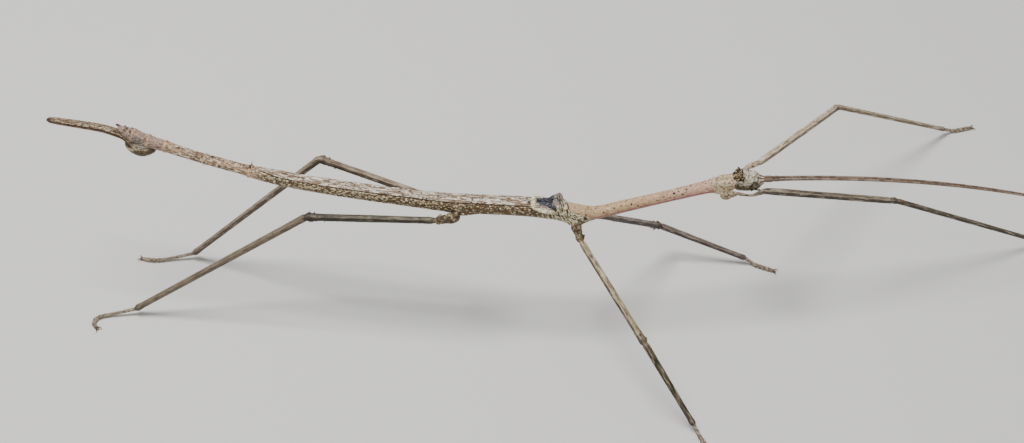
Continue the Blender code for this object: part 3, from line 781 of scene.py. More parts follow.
def trunk_look():
    """Body skin: tan dotted thorax, barky flanks, pinkish rear segments, ringed tail, painted shade
    on the underside.
    """
    made, tree = new_look("body_skin")
    thorax = layered(
        tree,
        (199, 163, 119),
        ("warm", (207, 163, 140)),
        ((3.0, 2.0, 0.4, 0.65), (196, 166, 140), 0.5),
        ((0.5, 3.0, 0.5, 0.64), (158, 126, 102)),
        ((0.6, 2.5, 0.56, 0.66), (230, 202, 172)),
    )
    neck = layered(
        tree,
        (144, 123, 91),
        ((0.8, 1.2, 0.42, 0.56), (210, 190, 156)),
        ((0.55, 1.0, 0.58, 0.63), (216, 204, 194)),
        ((0.4, 1.0, 0.6, 0.66), (70, 52, 40)),
    )
    rear = layered(
        tree,
        (190, 154, 122),
        ((2.0, 1.8, 0.44, 0.58), (136, 117, 94)),
        ((0.45, 3.4, 0.5, 0.58), (112, 88, 70)),
        ((0.45, 2.8, 0.55, 0.61), (238, 220, 194)),
        ((0.32, 1.8, 0.59, 0.64), (74, 57, 46)),
    )
    flank = layered(
        tree,
        (110, 85, 53),
        ("pale", (240, 226, 188)),
        ((0.4, 2.2, 0.54, 0.64), (82, 60, 41)),
        ("crack_and_painted_shadow", (46, 33, 23)),
    )
    # Grey with pale flecks, laid over a patch on the tail's side.
    grey_patch = layered(tree, (112, 101, 93), ((0.45, 1.0, 0.54, 0.6), (206, 192, 172)))
    tail = layered(
        tree,
        (176, 147, 131),
        ((0.4, 1.6, 0.44, 0.6), (114, 92, 80)),
        ((0.34, 1.0, 0.57, 0.64), (200, 186, 164)),
        ("grey_patch", grey_patch),
    )
    crest = layered(
        tree,
        (124, 110, 76),
        ("pale", (236, 226, 190)),
        ((0.4, 1.3, 0.53, 0.6), (84, 67, 44)),
        ("crack_and_painted_shadow", (50, 40, 28), 0.9),
    )
    # Painted shade: a darker tone laid over the body's underside.
    under = layered(tree, (86, 72, 56), ((0.8, 2.0, 0.4, 0.6), (54, 45, 36)))
    ring = layered(tree, (198, 134, 90), ((0.6, 1.0, 0.45, 0.6), (240, 226, 196)))
    dots = maths(tree, "MAXIMUM", specks(tree, 0.75, 0.35), specks(tree, 1.25, 0.54))
    colour = layered(
        tree,
        thorax,
        ("neck", neck),
        ("belly", rear),
        ("flank", flank),
        ("tail", tail),
        ("crest", crest),
        ("under", under, 0.85),
        ("pink", (158, 50, 84)),
        ("ring", ring, patches(tree, 1.1, 1.0, 0.36, 0.56)),
        ("dotted", (24, 18, 18), dots),
        ("dark", (22, 17, 16)),
    )
    return finished(made, colour, (0.48, 0.72), (0.45, 2.5, 0.4), 0.07)


def head_look():
    """Lichen grey and cream on top with black horns, olive below, pale stripes in front."""
    made, tree = new_look("head_skin")
    olive = layered(tree, (134, 116, 82), ((0.5, 1.5, 0.4, 0.58), (62, 52, 36)))
    horn = layered(tree, (26, 20, 17), ((0.5, 1.4, 0.53, 0.6), (184, 152, 108)))
    snout = layered(tree, (116, 88, 74), ("stripe", (214, 194, 176)))
    colour = layered(
        tree,
        (160, 146, 114),
        ((1.1, 1.3, 0.44, 0.56), (222, 216, 200)),
        ((0.7, 1.0, 0.53, 0.62), (240, 239, 236)),
        ((0.5, 1.6, 0.55, 0.62), (96, 76, 54)),
        ((0.3, 1.0, 0.57, 0.63), (52, 40, 30)),
        ("under", olive),
        ("horn", horn),
        ("snout", snout),
        ("dark", (20, 16, 15)),
    )
    return finished(made, colour, (0.5, 0.8), (0.4, 1.2, 0.6), 0.09)


def eye_look():
    """Dark olive eye with mottled bands, small facets and a thin clear coat."""
    made, tree = new_look("eye")
    surface = shader_inputs(tree)
    colour = layered(
        tree,
        (44, 38, 28),
        ((0.5, 1.6, 0.44, 0.58), (112, 100, 74)),
        ((0.3, 1.0, 0.54, 0.62), (18, 15, 14)),
    )
    facets = add_node(tree, "ShaderNodeTexVoronoi", Vector=grain(tree), Scale=7.5, Randomness=0.25)
    bump = add_node(
        tree,
        "ShaderNodeBump",
        {"invert": True},
        Strength=0.5,
        Distance=0.03 * MM,
        Height=facets.outputs["Distance"],
    )
    feed(tree, surface["Base Color"], colour)
    feed(tree, surface["Normal"], bump.outputs["Normal"])
    surface["Roughness"].default_value = 0.28
    surface["Coat Weight"].default_value = 0.35
    return made


def tegmen_look():
    """Humped fore wing: cream scalloped border, blue-black patch with painted blue-grey highlights,
    grey hump, bark veins.
    """
    made, tree = new_look("tegmen")
    mauve = layered(tree, (132, 110, 104), ((0.35, 2.6, 0.46, 0.56), (218, 206, 184)))
    hump = layered(
        tree,
        (156, 147, 138),
        ((0.5, 1.0, 0.47, 0.6), (90, 84, 82)),
        ((0.4, 1.0, 0.58, 0.64), (212, 202, 186)),
    )
    # Blue-black patch; its blue-grey flecks are painted highlights.
    blue = layered(
        tree,
        (26, 27, 36),
        ((0.6, 2.0, 0.45, 0.65), (64, 64, 78)),
        ((0.34, 1.6, 0.55, 0.62), (112, 114, 124)),
    )
    cream = layered(
        tree,
        (255, 250, 222),
        ((0.5, 1.0, 0.52, 0.6), (196, 172, 132)),
        ((0.34, 1.0, 0.56, 0.62), (122, 86, 56)),
    )
    colour = layered(
        tree,
        (120, 106, 74),
        ("pale", (238, 227, 192)),
        ((0.4, 1.5, 0.54, 0.66), (108, 90, 66)),
        ("shade", mauve),
        ("hump", hump),
        ("patch", blue),
        ("border", cream),
        ("crack_and_painted_shadow", (72, 57, 40), 0.85),
        ("dark", (24, 21, 25)),
    )
    return finished(made, colour, (0.45, 0.7), (0.4, 3.0, 0.4), 0.07)


def hindwing_look():
    """Folded hind wing: pinkish white and brown dashes along the body, a dark edge."""
    made, tree = new_look("hindwing")
    dots = maths(tree, "MAXIMUM", specks(tree, 0.95, 0.34), specks(tree, 1.5, 0.55))
    colour = layered(
        tree,
        (154, 126, 98),
        ("pale", (255, 248, 228)),
        ((0.42, 6.5, 0.52, 0.6), (88, 64, 48)),
        ((0.45, 6.0, 0.55, 0.61), (252, 243, 226)),
        ((1.1, 6.0, 0.5, 0.62), (124, 94, 70), 0.42),
        ("crack_and_painted_shadow", (74, 53, 40), 0.6),
        ("edge", (88, 60, 42)),
        (dots, (34, 25, 23)),
    )
    return finished(made, colour, (0.42, 0.62), (0.3, 6.0, 0.25), 0.05)


def beak_look():
    """Egg-laying beak: brown, cream hatched bands, dark grooves, painted shadow behind the rim,
    olive base.
    """
    made, tree = new_look("beak")
    band = layered(tree, (116, 90, 66), ((0.26, 3.6, 0.47, 0.56), (228, 212, 180)))
    grey_patch = layered(tree, (112, 101, 90), ((0.45, 1.0, 0.5, 0.57), (196, 182, 160)))
    base = layered(
        tree,
        (94, 74, 47),
        ((0.6, 1.2, 0.42, 0.58), (52, 40, 26)),
        ((0.34, 1.0, 0.58, 0.65), (158, 140, 103)),
        ("grey_patch", grey_patch),
    )
    rim = layered(tree, (96, 76, 50), ((0.4, 1.0, 0.42, 0.52), (222, 208, 166)))
    tip = layered(tree, (42, 30, 28), ((0.4, 1.4, 0.5, 0.6), (104, 84, 74)))
    colour = layered(
        tree,
        (128, 98, 72),
        ((0.4, 3.0, 0.42, 0.58), (78, 56, 38)),
        ("pale", band),
        ((0.4, 2.2, 0.56, 0.62), (60, 43, 30)),
        ("ball", base),
        ("rim", rim),
        # Dark grooves, and the painted shadow in the recess behind the base's rim.
        ("crack_and_painted_shadow", (46, 31, 20)),
        ("dark", tip),
    )
    return finished(made, colour, (0.42, 0.66), (0.3, 3.5, 0.4), 0.06)


def leg_look(name, top, side, streak, shin, shin_tone, lichen):
    """Leg skin: pale ridges, paler on top as a painted highlight, over a brown side with dark
    streaks, painted shade in the streak tone below, barky hip, rings. The shin share tells
    how far the tibia goes to the shin's tone, and the lichen share how pale the hip is."""
    made, tree = new_look(name)
    hip = layered(
        tree,
        (76, 59, 40),
        ("knob", (184, 161, 125)),
        (lichen, (214, 194, 160)),
        ((0.36, 1.0, 0.52, 0.6), (42, 31, 24)),
    )
    foot = layered(tree, (166, 152, 134), ((0.6, 1.5, 0.4, 0.6), (104, 86, 70)))
    ring_share = times(tree, mark(tree, "ring"), patches(tree, 0.7, 1.0, 0.42, 0.6))
    off_hip = maths(tree, "SUBTRACT", 0.8, mark(tree, "hip"))
    colour = layered(
        tree,
        side,
        ((2.2, 3.0, 0.38, 0.64), top, 0.4),
        ((0.26, 8.0, 0.47, 0.6), streak),
        # Pale ridges, paler on top: partly painted highlight.
        ("pale", top, 0.9),
        # Painted shade: the underside goes to the streak tone.
        ("under", streak, 0.8),
        ("shin", shin_tone, shin),
        ((0.4, 10.0, 0.5, 0.58), streak, 0.5),
        ((0.45, 10.0, 0.54, 0.62), top, 0.45),
        ("hip", hip),
        ("foot", foot),
        (ring_share, (138, 98, 72), 0.8),
        (specks(tree, 1.2, 0.3), (30, 23, 21), off_hip),
        ("dark", (26, 20, 18)),
    )
    return finished(made, colour, (0.45, 0.68), (0.3, 6.0, 0.35), 0.05)


def antenna_look():
    """Feeler: pinkish brown segments with pale ends and dark joints."""
    made, tree = new_look("antenna")
    colour = layered(
        tree,
        (132, 110, 94),
        ((1.5, 3.0, 0.4, 0.6), (104, 86, 73)),
        ("pale", (180, 160, 144), 0.6),
        ("dark", (72, 48, 42), 0.45),
    )
    return finished(made, colour, (0.45, 0.65), (0.2, 4.0, 0.4), 0.03)


def claw_look():
    """Claw: almost black at the tip, brown at the root, glossy."""
    made, tree = new_look("claw")
    colour = layered(
        tree,
        (120, 96, 78),
        ("dark", (28, 22, 20)),
        ((0.3, 2.0, 0.5, 0.7), (70, 54, 44)),
    )
    return finished(made, colour, (0.3, 0.5), (0.15, 3.0, 0.3), 0.02)


# ----------------------------------------------------------------------------- the body


def trunk_axis(x, table=TRUNK):
    """Path, half width and half height of the body at these x."""
    found = smooth_table(table, x)
    return np.column_stack((x, found[:, :2])), found[:, 2], found[:, 3]


def trunk_frame(x):
    """The axis at one x, the half width and half height there, and its left and up."""
    path, wide, high = trunk_axis(np.array((x, x + 0.5)))
    return path[0], wide[0], high[0], *left_and_up(unit(path[1] - path[0]))


def elevation(theta):
    """Height of a direction round the body over its level, in degrees."""
    return np.degrees(np.arcsin(np.sin(theta)))


def joint_relief(x):
    """At each cut a raised hind margin in front of a narrow groove. The margin is a
    bell 0.45 mm ahead of the cut, the groove a narrow bell just behind it."""
    total = 0.0
    for cut in CUTS:
        height = 0.3 if cut in RINGED_CUTS else 0.1
        total = total + height * bell(x, cut + 0.45, 0.55)
        total = total - (0.14 + height / 3) * bell(x, cut - 0.12, 0.2)
    return total


def trunk_zones(x, tilt, straight):
    """Shares from 0 to 1 of the body's zones. The crest covers the flank up to a ragged
    line that rises to the hump and falls again towards the front."""
    top = np.interp(x, (8.0, 16.0, 19.6, 26.0), (22.0, 62.0, 40.0, -14.0))
    ragged = tilt + 14 * rough_noise(straight / 1.3, 2, 31)
    ends = fade(x, 7.5, 12.0) * (1 - fade(x, 22.5, 27.0))
    return {
        "neck": within(x, *NECK_ZONE, 0.6),
        "thorax": within(x, *THORAX_ZONE, 1.0),
        "flank": within(x, *WINGED_ZONE, 2.5) * (1 - fade(tilt, 46, 52)),
        "belly": within(x, *BELLY_ZONE, 1.0),
        "rear": within(x, *REAR_ZONE, 1.0),
        "tail": 1 - fade(x, *TAIL_START),
        "crest": ends * fade(tilt, -64, -46) * (1 - fade(ragged, top - 8, top + 8)),
    }


def tegmen_wrap(x):
    """Degrees from the back's middle to the fore wing's lower edge: half an ellipse."""
    along = (x - TEGMEN_BACK) / (TEGMEN_FRONT - TEGMEN_BACK)
    return 34 + 42 * np.sqrt(np.clip(1 - (2 * along - 1.02) ** 2, 0, 1))


def wing_seat(x, high):
    """Share of the wings' depth that the body gives up at this x and elevation."""
    strip = fade(high, 40, 46) * within(x, WING_TIP - 0.4, WING_FRONT, 0.4)
    edge = 90 - tegmen_wrap(x)
    cover = fade(high, edge + 2, edge + 10) * within(x, TEGMEN_BACK, TEGMEN_FRONT - 0.4, 0.4)
    return np.maximum(strip, cover)


def bark_flow(straight):
    """Ridges on arcs round a centre over the middle legs' roots: ridged noise of the
    angle round the centre and of the distance from it."""
    run, fall = straight[..., 0] - BARK_CENTRE[0], straight[..., 2] - BARK_CENTRE[1]
    turn = np.arctan2(fall, run) * BARK_STREAKS
    spread = np.hypot(fall, run) / BARK_RIDGE
    return ridged_noise(stacked(turn, spread, straight[..., 1]), BARK_SEED)


def trunk_bark(x, straight):
    """Height, paleness and cracks of the flanks' bark flakes, then of the crest's
    ridges. Fewer flakes are pale towards the front."""
    edge, own = cells(straight / BARK_FLAKE, 11)
    flake = fade(edge, 0.02, 0.3)
    fewer = 0.3 * fade(x, -50, 5)
    flake_pale = fade(own, 0.26 + fewer, 0.53 + fewer) * flake
    flow = bark_flow(straight)
    ahead = fade(x, 10, 15)
    flow_pale = fade(flow, 0.6 - 0.25 * ahead, 0.9 - 0.2 * ahead)
    flakes = (flake, flake_pale, 1 - fade(edge, 0.03, 0.16))
    return flakes, (flow, flow_pale, fade(0.34 - flow, 0, 0.3))


def trunk_relief(x, theta, zone, flake, flow, lumps, grit):
    """Height of the skin over the oval: joints, each zone's bark, lumps and grit, a keel
    along the thorax and one along each side of the belly, swellings, spines and warts.
    It sinks under the wings and fades out at the collar."""
    tilt = elevation(theta)
    height = (
        joint_relief(x) * (1 - 0.5 * zone["thorax"])
        + zone["flank"] * (0.13 * flake - 0.1 + 0.08 * lumps)
        + zone["crest"] * (0.21 * flow - 0.01 + 0.12 * grit)
        + zone["neck"] * (0.16 * lumps + 0.09 * grit + 0.05)
        + zone["rear"] * (0.05 * lumps + 0.04 * grit)
        + zone["tail"] * (0.14 * lumps + 0.06 * grit)
        + zone["thorax"] * (0.025 * lumps + 0.1 * bell(turn_between(theta, 90), 0, 9))
        + within(x, -75, 60, 6) * 0.12 * bell(tilt, -62, 9)
    )
    for middle, size, length in LEG_SWELLINGS:
        height = height + size * bell(x, middle, length) * bell(tilt, ROOT_ANGLE, 25)
    height = height + knobs(x, theta, SPINES)
    warts = scattered_knobs(46, 3, ((62.9, 68.2), (-40, 220)), ((0.08, 0.24), 0.45, 11))
    height = height + knobs(x, theta, warts) * fade(x, CUTS[0], CUTS[0] + 0.4)
    seat = wing_seat(x, tilt)
    height = height * (1 - 0.85 * seat) - WING_SINK * seat
    return height * (1 - fade(x, COLLAR, COLLAR + 0.4))


def trunk_shell():
    """Body skin: an oval round the axis, raised by its relief, with its underside
    pressed up behind BEAK_ROOM, where the beak's base lies below it."""
    x = np.linspace(NECK_END[0], TRUNK[0][0], 880)
    path, wide, high = trunk_axis(x, (*TRUNK, NECK_END))
    theta = turns(108)
    tilt = elevation(theta)
    x = x[:, None]
    across, rise = oval(theta, wide[:, None], high[:, None])
    straight = stacked(x, across, rise)
    zone = trunk_zones(x, tilt, straight)
    (flake, flake_pale, flake_crack), (flow, flow_pale, flow_crack) = trunk_bark(x, straight)
    lumps = rough_noise(straight / 1.1, 3, 5)
    grit = rough_noise(straight / 0.45, 2, 6)
    height = trunk_relief(x, theta, zone, flake, flow, lumps, grit)
    across, rise = raised(across, rise, height)
    belly = np.interp(x, (-120.8, -119.0, -110.8, -108.2), (-0.5, -1.15, -1.15, -2.6))
    pressed = np.maximum(rise, belly + 0.12 * (rise - belly))
    rise = np.where(x < BEAK_ROOM, pressed, rise)

    ringed = sum(bell(x, cut + 0.35, 0.36) for cut in RINGED_CUTS)
    ringed = ringed + 1.3 * bell(x, COLLAR, 0.3) + 0.9 * bell(x, -81.0, 1.3)
    spine_tips = np.clip(knobs(x, theta, WAIST_SPINES) * 1.6, 0, 1)
    spine_tips = spine_tips + 0.8 * np.clip(knobs(x, theta, TAIL_SPINES) * 2.2, 0, 1)
    line = bell(tilt, -8 + 5 * rough_noise(straight / 3.0, 2, 8), 7)
    # A patch over the tail's side, from the underside up past its middle.
    grey_patch_area = within(x + 0.5 * lumps, -119.0, -114.4, 0.5) * within(tilt + 9 * lumps, -60, 44, 7)
    flake_crack = flake_crack * (0.55 + 0.45 * fade(lumps, -0.3, 0.3))
    on_crest = zone["crest"] > 0.35
    marks = {
        "grain": stacked(x, across, rise),
        "grey_patch": zone["tail"] * grey_patch_area,
        "pale": np.where(on_crest, flow_pale, flake_pale),
        "crack_and_painted_shadow": np.where(on_crest, flow_crack, flake_crack),
        # Painted shade: the underside is darker, reaching higher on the thorax and less far on the
        # tail.
        "under": (1 - fade(tilt - 18 * zone["thorax"], -50, -28)) * (1 - 0.6 * zone["tail"]),
        "pink": zone["thorax"] * line * fade(x, 22, 28),
        "warm": fade(x + 5 * lumps, 32, 58),
        "ring": np.clip(ringed * (0.75 + 0.5 * lumps), 0, 1) * fade(tilt, -50, 0),
        "dotted": zone["thorax"] * fade(tilt, -22, -6) + 0.9 * zone["rear"] + 0.4 * zone["tail"],
        "dark": np.clip(spine_tips + 0.8 * bell(x, 69.2, 0.3), 0, 1),
    }
    for key in ("neck", "flank", "belly", "tail", "crest"):
        marks[key] = zone[key]
    return swept(path, across, rise), marks


def plate_shell(x, start, stop, cover, marks_of, sign, cols):
    """Thin wing plate on the body. At each x its outer arc runs from one angle to the
    other, over the body's outline by the cover, and its inner arc runs back below it,
    0.5 mm inside the outline. The outer arc drops at both edges. The marks and the cover
    are worked out at each point from its x, direction, share of the arc and side."""
    path, wide, high = trunk_axis(x)
    x, wide, high, start, span = (
        column[:, None] for column in (x, wide, high, start, stop - start)
    )
    share = np.linspace(0, 1, cols[0])[None]
    theta = np.radians(start + span * share)
    across, rise = oval(theta, wide, high)
    straight = stacked(x, across, rise)
    at = SimpleNamespace(
        x=x, theta=theta, tilt=elevation(theta), share=share, straight=straight, sign=sign
    )
    marks = marks_of(at)
    edge_drop = 0.3 * (bell(share, 0, 0.012) + bell(share, 1, 0.012))
    outer = raised(across, rise, cover(at, marks) - edge_drop)
    back = np.linspace(1, 0, cols[1])[None]
    inner = raised(*oval(np.radians(start + span * (0.01 + 0.98 * back)), wide, high), -0.5)
    across, rise = (np.hstack(pair) for pair in zip(outer, inner))
    below = np.round(back[0] * (cols[0] - 1)).astype(int)
    full = {"grain": stacked(x, across, rise)}
    for key, values in marks.items():
        values = np.broadcast_to(values, theta.shape)
        full[key] = np.hstack((values, values[:, below]))
    return swept(path, across, rise), full


def hindwing_marks(at):
    """Pale dashes that are long flakes, the cracks between them, and two dark edges."""
    edge, own = cells(at.straight / DASH, 41 + at.sign)
    return {
        "pale": fade(own, 0.3, 0.56) * fade(edge, 0.02, 0.2),
        "crack_and_painted_shadow": 1 - fade(edge, 0.03, 0.14),
        "edge": bell(at.share, 0.955, 0.05) + 0.5 * bell(at.share, HINDWING_VEINS[1], 0.02),
    }


def hindwing_cover(at, marks):
    """Raised dashes and veins, thinner towards the wing's tip."""
    veins = sum(bell(at.share, vein, 0.03) for vein in HINDWING_VEINS)
    dashes = 0.07 * marks["pale"] - 0.05 * marks["crack_and_painted_shadow"]
    return (0.04 + dashes + 0.09 * veins) * fade(at.x, WING_TIP, WING_TIP + 3)


def hindwing_shell(side):
    """Wing strip from the back's middle to its hard edge, narrowing over the last 9 mm,
    with veins along it and dashes between them."""
    sign = AXIS_SIGN[side]
    x = np.linspace(WING_FRONT + 0.6, WING_TIP + 0.2, 400)
    taper = fade(x, WING_TIP, WING_TIP + 9)
    start = np.full_like(x, 90 - sign)
    stop = 90 - sign * (90 - WING_EDGE) * (0.35 + 0.65 * taper)
    return plate_shell(x, start, stop, hindwing_cover, hindwing_marks, sign, (34, 10))


def tegmen_marks(at):
    """Marks of a fore wing. Its wavy zones are the grey hump, the dark patch behind and
    below it down to the low line, the shade below the patch, and the pale border behind
    and below all of them, whose edge is scalloped."""
    x, tilt, share = at.x, at.tilt, at.share
    wobble = rough_noise(at.straight / 1.2, 2, 53)
    jag = rough_noise(at.straight / 0.5, 2, 55)
    streaks = ridged_noise(stacked(x / 2.4, tilt / 13, at.sign), 51 + at.sign)
    veins = np.where(x > 12.2, bark_flow(at.straight), streaks)
    hump = fade(bell(x, HUMP_AT + 0.2, 1.9) * fade(tilt, 52, 72) + 0.3 * wobble, 0.3, 0.6)
    low = np.interp(x, (6.9, 9.0, 12.8), (82.0, 60.0, 38.0)) + 9 * wobble
    patch = within(x + 0.5 * wobble + 0.35 * jag, 7.0, 12.2 + 1.2 * fade(tilt, 64, 46), 0.3)
    patch = patch * fade(tilt + 9 * jag, low - 3, low + 3)
    shade = within(x, 6.6, 13.4, 0.5) * fade(tilt, low - 30, low - 20) * (1 - patch)
    rear = 1 - fade(x + 0.4 * wobble, 6.6, 7.1)
    lower = fade(share + 0.1 * wobble, 0.62, 0.74) * (1 - fade(x, 12.5, 14.0))
    border = np.maximum(rear, lower)
    teeth = np.abs(np.sin(x * 3.4 + 1.5 * wobble))
    scallop = fade(teeth * fade(share, 0.82, 0.98), 0.6, 0.8) * (1 - fade(x, 13.0, 14.5))
    bark = fade(0.42 - veins, 0, 0.25) * (1 - border) * (1 - patch) * (1 - shade)
    spots = scattered_knobs(16, 9, ((11.4, 15.0), (40, 140)), ((0.8, 1.0), 0.32, 9))
    return {
        "pale": fade(veins, 0.35, 0.7),
        "hump": hump * (1 - patch),
        "patch": patch,
        "shade": shade * (1 - hump),
        "border": border * (1 - patch) * (1 - hump),
        "crack_and_painted_shadow": np.clip(bark + 0.8 * scallop, 0, 1),
        "dark": np.clip(knobs(x, at.theta, spots), 0, 1) * fade(hump, 0.1, 0.4),
    }


def tegmen_cover(at, marks):
    """Height of a fore wing over the body: a blunt hump, exp of minus fourth powers, a
    crest that runs down and forward from it, raised pale parts and a sunk patch. Both
    ends thin out."""
    x, tilt = at.x, at.tilt
    blunt = np.exp(-(((x - HUMP_AT) / 1.9) ** 4) - ((tilt - HUMP_ANGLE) / 27) ** 4)
    rough = rough_noise(stacked(x, tilt / 22, at.sign), 2, 57)
    ridge = HUMP_RISE * blunt * (0.95 + 0.3 * rough)
    crest = bell(x - HUMP_AT - (HUMP_ANGLE - tilt) / 24, 0.2, 1.1) * (1 - fade(tilt, 60, 75))
    pale = marks["pale"] * (1 - marks["patch"])
    rim = 0.16 * marks["border"] + 0.24 * pale - 0.12 * marks["patch"]
    front = 1 - fade(x, TEGMEN_FRONT - 1.2, TEGMEN_FRONT)
    ends = fade(x, TEGMEN_BACK, TEGMEN_BACK + 0.5) * front
    return 0.02 + (0.3 + ridge + 0.65 * crest + rim) * ends


def tegmen_shell(side):
    """Humped fore wing from the back's middle down to a wavy edge, its rows closer
    together at both ends."""
    sign = AXIS_SIGN[side]
    middle = (TEGMEN_FRONT + TEGMEN_BACK) / 2
    half = (TEGMEN_FRONT - TEGMEN_BACK) / 2
    x = middle + half * np.sin(np.linspace(np.pi / 2, -np.pi / 2, 150))
    wave = 3.0 * np.abs(np.sin(x * 2.1)) + 2.5 * soft_noise(stacked(x, 0.0, 0.0), 3 + sign)
    start = np.full_like(x, 90 - sign)
    stop = 90 - sign * (tegmen_wrap(x) + wave)
    return plate_shell(x, start, stop, tegmen_cover, tegmen_marks, sign, (90, 14))


def beak_shell():
    """Beak and its round base: ovals along the axis, with a keel above, a groove along
    each side, a raised rim round the back of the base, and wrinkles."""
    x = np.linspace(BEAK[0][0], BEAK[-1][0], 300)
    x = np.concatenate((np.linspace(BEAK[0][0], BEAK[2][0], 20), x[x < BEAK[2][0] - 0.1]))
    path, wide, high = trunk_axis(x, BEAK)
    x = x[:, None]
    theta = turns(84)
    across, rise = oval(theta, wide[:, None], high[:, None])
    reach = np.hypot(across, rise)
    tilt = elevation(theta)
    straight = stacked(x, across, rise)
    lumps = rough_noise(straight / (1.4, 0.7, 0.7), 3, 61)
    ball = fade(x, -120.6, -117.8)
    rod = 1 - ball
    groove = bell(tilt, 8, 7) * within(x, -143.5, -120.2, 1.5)
    back_edge = -118.5 + 0.02 * (tilt + 40)
    low_side = 1 - fade(tilt, 2, 22)
    rim = bell(x, back_edge, 0.42) * low_side * fade(tilt, -88, -60)
    behind = (1 - fade(x, back_edge - 0.5, back_edge - 0.1)) * fade(x, -123.4, back_edge - 0.5)
    behind = behind * low_side
    shore = ball * within(x, -118.9, -112.6, 1.0)
    height = (
        rod * (0.14 * bell(tilt, 86, 20) - 0.26 * groove + 0.1 * bell(tilt, -12, 14))
        + 0.07 * lumps
        + 0.22 * rim
        - 0.42 * behind
        + ball * 0.07 * ridged_noise(straight / (2.0, 1.1, 1.1), 63)
    )
    across, rise = raised(across, rise, height * fade(reach, 0.3, 1.0))
    bands = within(tilt, 18, 60, 8) + 0.35 * fade(tilt, 60, 80) + 0.8 * bell(tilt, -22, 12)
    # Painted shadow: the recess behind the rim is darkened.
    shadow = 0.8 * behind * within(x, -120.3, back_edge, 0.3)
    marks = {
        "grain": stacked(x, across, rise),
        "ball": ball,
        "pale": rod * np.clip(bands, 0, 1),
        "rim": np.clip(rim + shore * bell(tilt + 6 * lumps, 22, 3), 0, 1),
        # A grey patch on the upper side of the beak's base.
        "grey_patch": shore * fade(tilt + 6 * lumps, 23, 28),
        "crack_and_painted_shadow": np.clip(groove + shadow, 0, 1),
        "dark": 1 - fade(x + 0.6 * lumps, -144.4, -142.6),
    }
    return swept(path, across, rise), marks


# ---------------------------------------------------------------------------- the head


def head_frame():
    """The head's own ahead, left and up."""
    ahead = unit(HEAD_FRONT - HEAD_BACK)
    return ahead, *left_and_up(ahead)


def head_point(along, out, up_by):
    """Point in the head's own frame: along its axis, to its left and up."""
    ahead, left, up = head_frame()
    return HEAD_BACK + ahead * along + left * out + up * up_by


def head_shell():
    """Head: ovals along its axis with two jagged horns behind, a raised rim round each
    eye and each feeler's socket, keels that run forward, and warts all over."""
    middle, half = (HEAD[-1][0] + HEAD[0][0]) / 2, (HEAD[-1][0] - HEAD[0][0]) / 2
    s = middle - half * np.cos(np.linspace(0, np.pi, 190))
    wide, high, lift = (column[:, None] for column in smooth_table(HEAD, s).T)
    ahead, _, up = head_frame()
    s = s[:, None]
    path = HEAD_BACK + ahead * s + up * lift
    theta = turns(168)
    across, rise = oval(theta, wide, high)
    tilt = elevation(theta)
    straight = stacked(s, across, rise)
    lumps = rough_noise(straight / 1.0, 3, 71)
    grit = rough_noise(straight / 0.4, 2, 72)
    cusps = [
        (HORN_AT + along, 90 + sign * turn, height, 0.55, 13)
        for sign in (-1, 1)
        for along, turn, height in HORN_CUSPS
    ]
    warts = scattered_knobs(95, 5, ((1.0, 8.6), (-30, 210)), ((0.08, 0.26), 0.42, 8))
    from_top = turn_between(theta, 90)
    keels = bell(np.abs(from_top), 24 - 1.5 * (s - 5), 6) * within(s, 3.0, 9.4, 0.8)
    height = (
        0.7 * bell(s, HORN_AT, 1.25) * bell(tilt, HORN_ANGLE, 26)
        + knobs(s, theta, cusps)
        + 0.14 * lumps
        + 0.06 * grit
        + knobs(s, theta, warts)
        - 0.35 * bell(s, 3.6, 0.7) * bell(from_top, 0, 26)
        + 0.22 * keels
    )
    lifted = stacked(s, across, rise + lift)
    for sign in (-1, 1):
        gap = np.linalg.norm(lifted - (EYE_AT, sign * EYE_OUT, EYE_UP), axis=-1)
        height = height * fade(gap, 1.2, 2.0) + 0.25 * bell(gap, 1.7, 0.26)
        height = height - 0.75 * (1 - fade(gap, 0.9, 1.6))
        socket = np.linalg.norm(lifted - SOCKET * np.array((1, sign, 1)), axis=-1)
        height = height + 0.22 * bell(socket, 0.72, 0.22) * fade(s, 8.2, 9.0)
    height = height * fade(s, -0.5, 0.6) * (1 - fade(s, 9.6, 10.1))
    across, rise = raised(across, rise, height)
    horn = bell(s, HORN_AT - 0.3, 1.5) * fade(tilt, 22, 56)
    marks = {
        "grain": stacked(s, across, rise),
        "under": 1 - fade(tilt + 30 * lumps, -4, 42),
        "horn": fade(horn + 0.5 * lumps, 0.4, 0.6),
        "snout": fade(s, 8.0, 8.8),
        "stripe": fade(np.sin(np.radians(from_top * 9)), -0.2, 0.5),
        "dark": np.clip(knobs(s, theta, HEAD_SPOTS) * 2, 0, 1),
    }
    return swept(path, across, rise), marks


def eye_shell(side):
    """Ball of the eye's radius, with its poles to the sides."""
    sign = SIGN[side]
    ahead, left, up = head_frame()
    centre = head_point(EYE_AT, sign * EYE_OUT, EYE_UP)
    return ball_shell(centre, EYE_RADIUS * np.array((left * sign, ahead, up)), 48, 64)


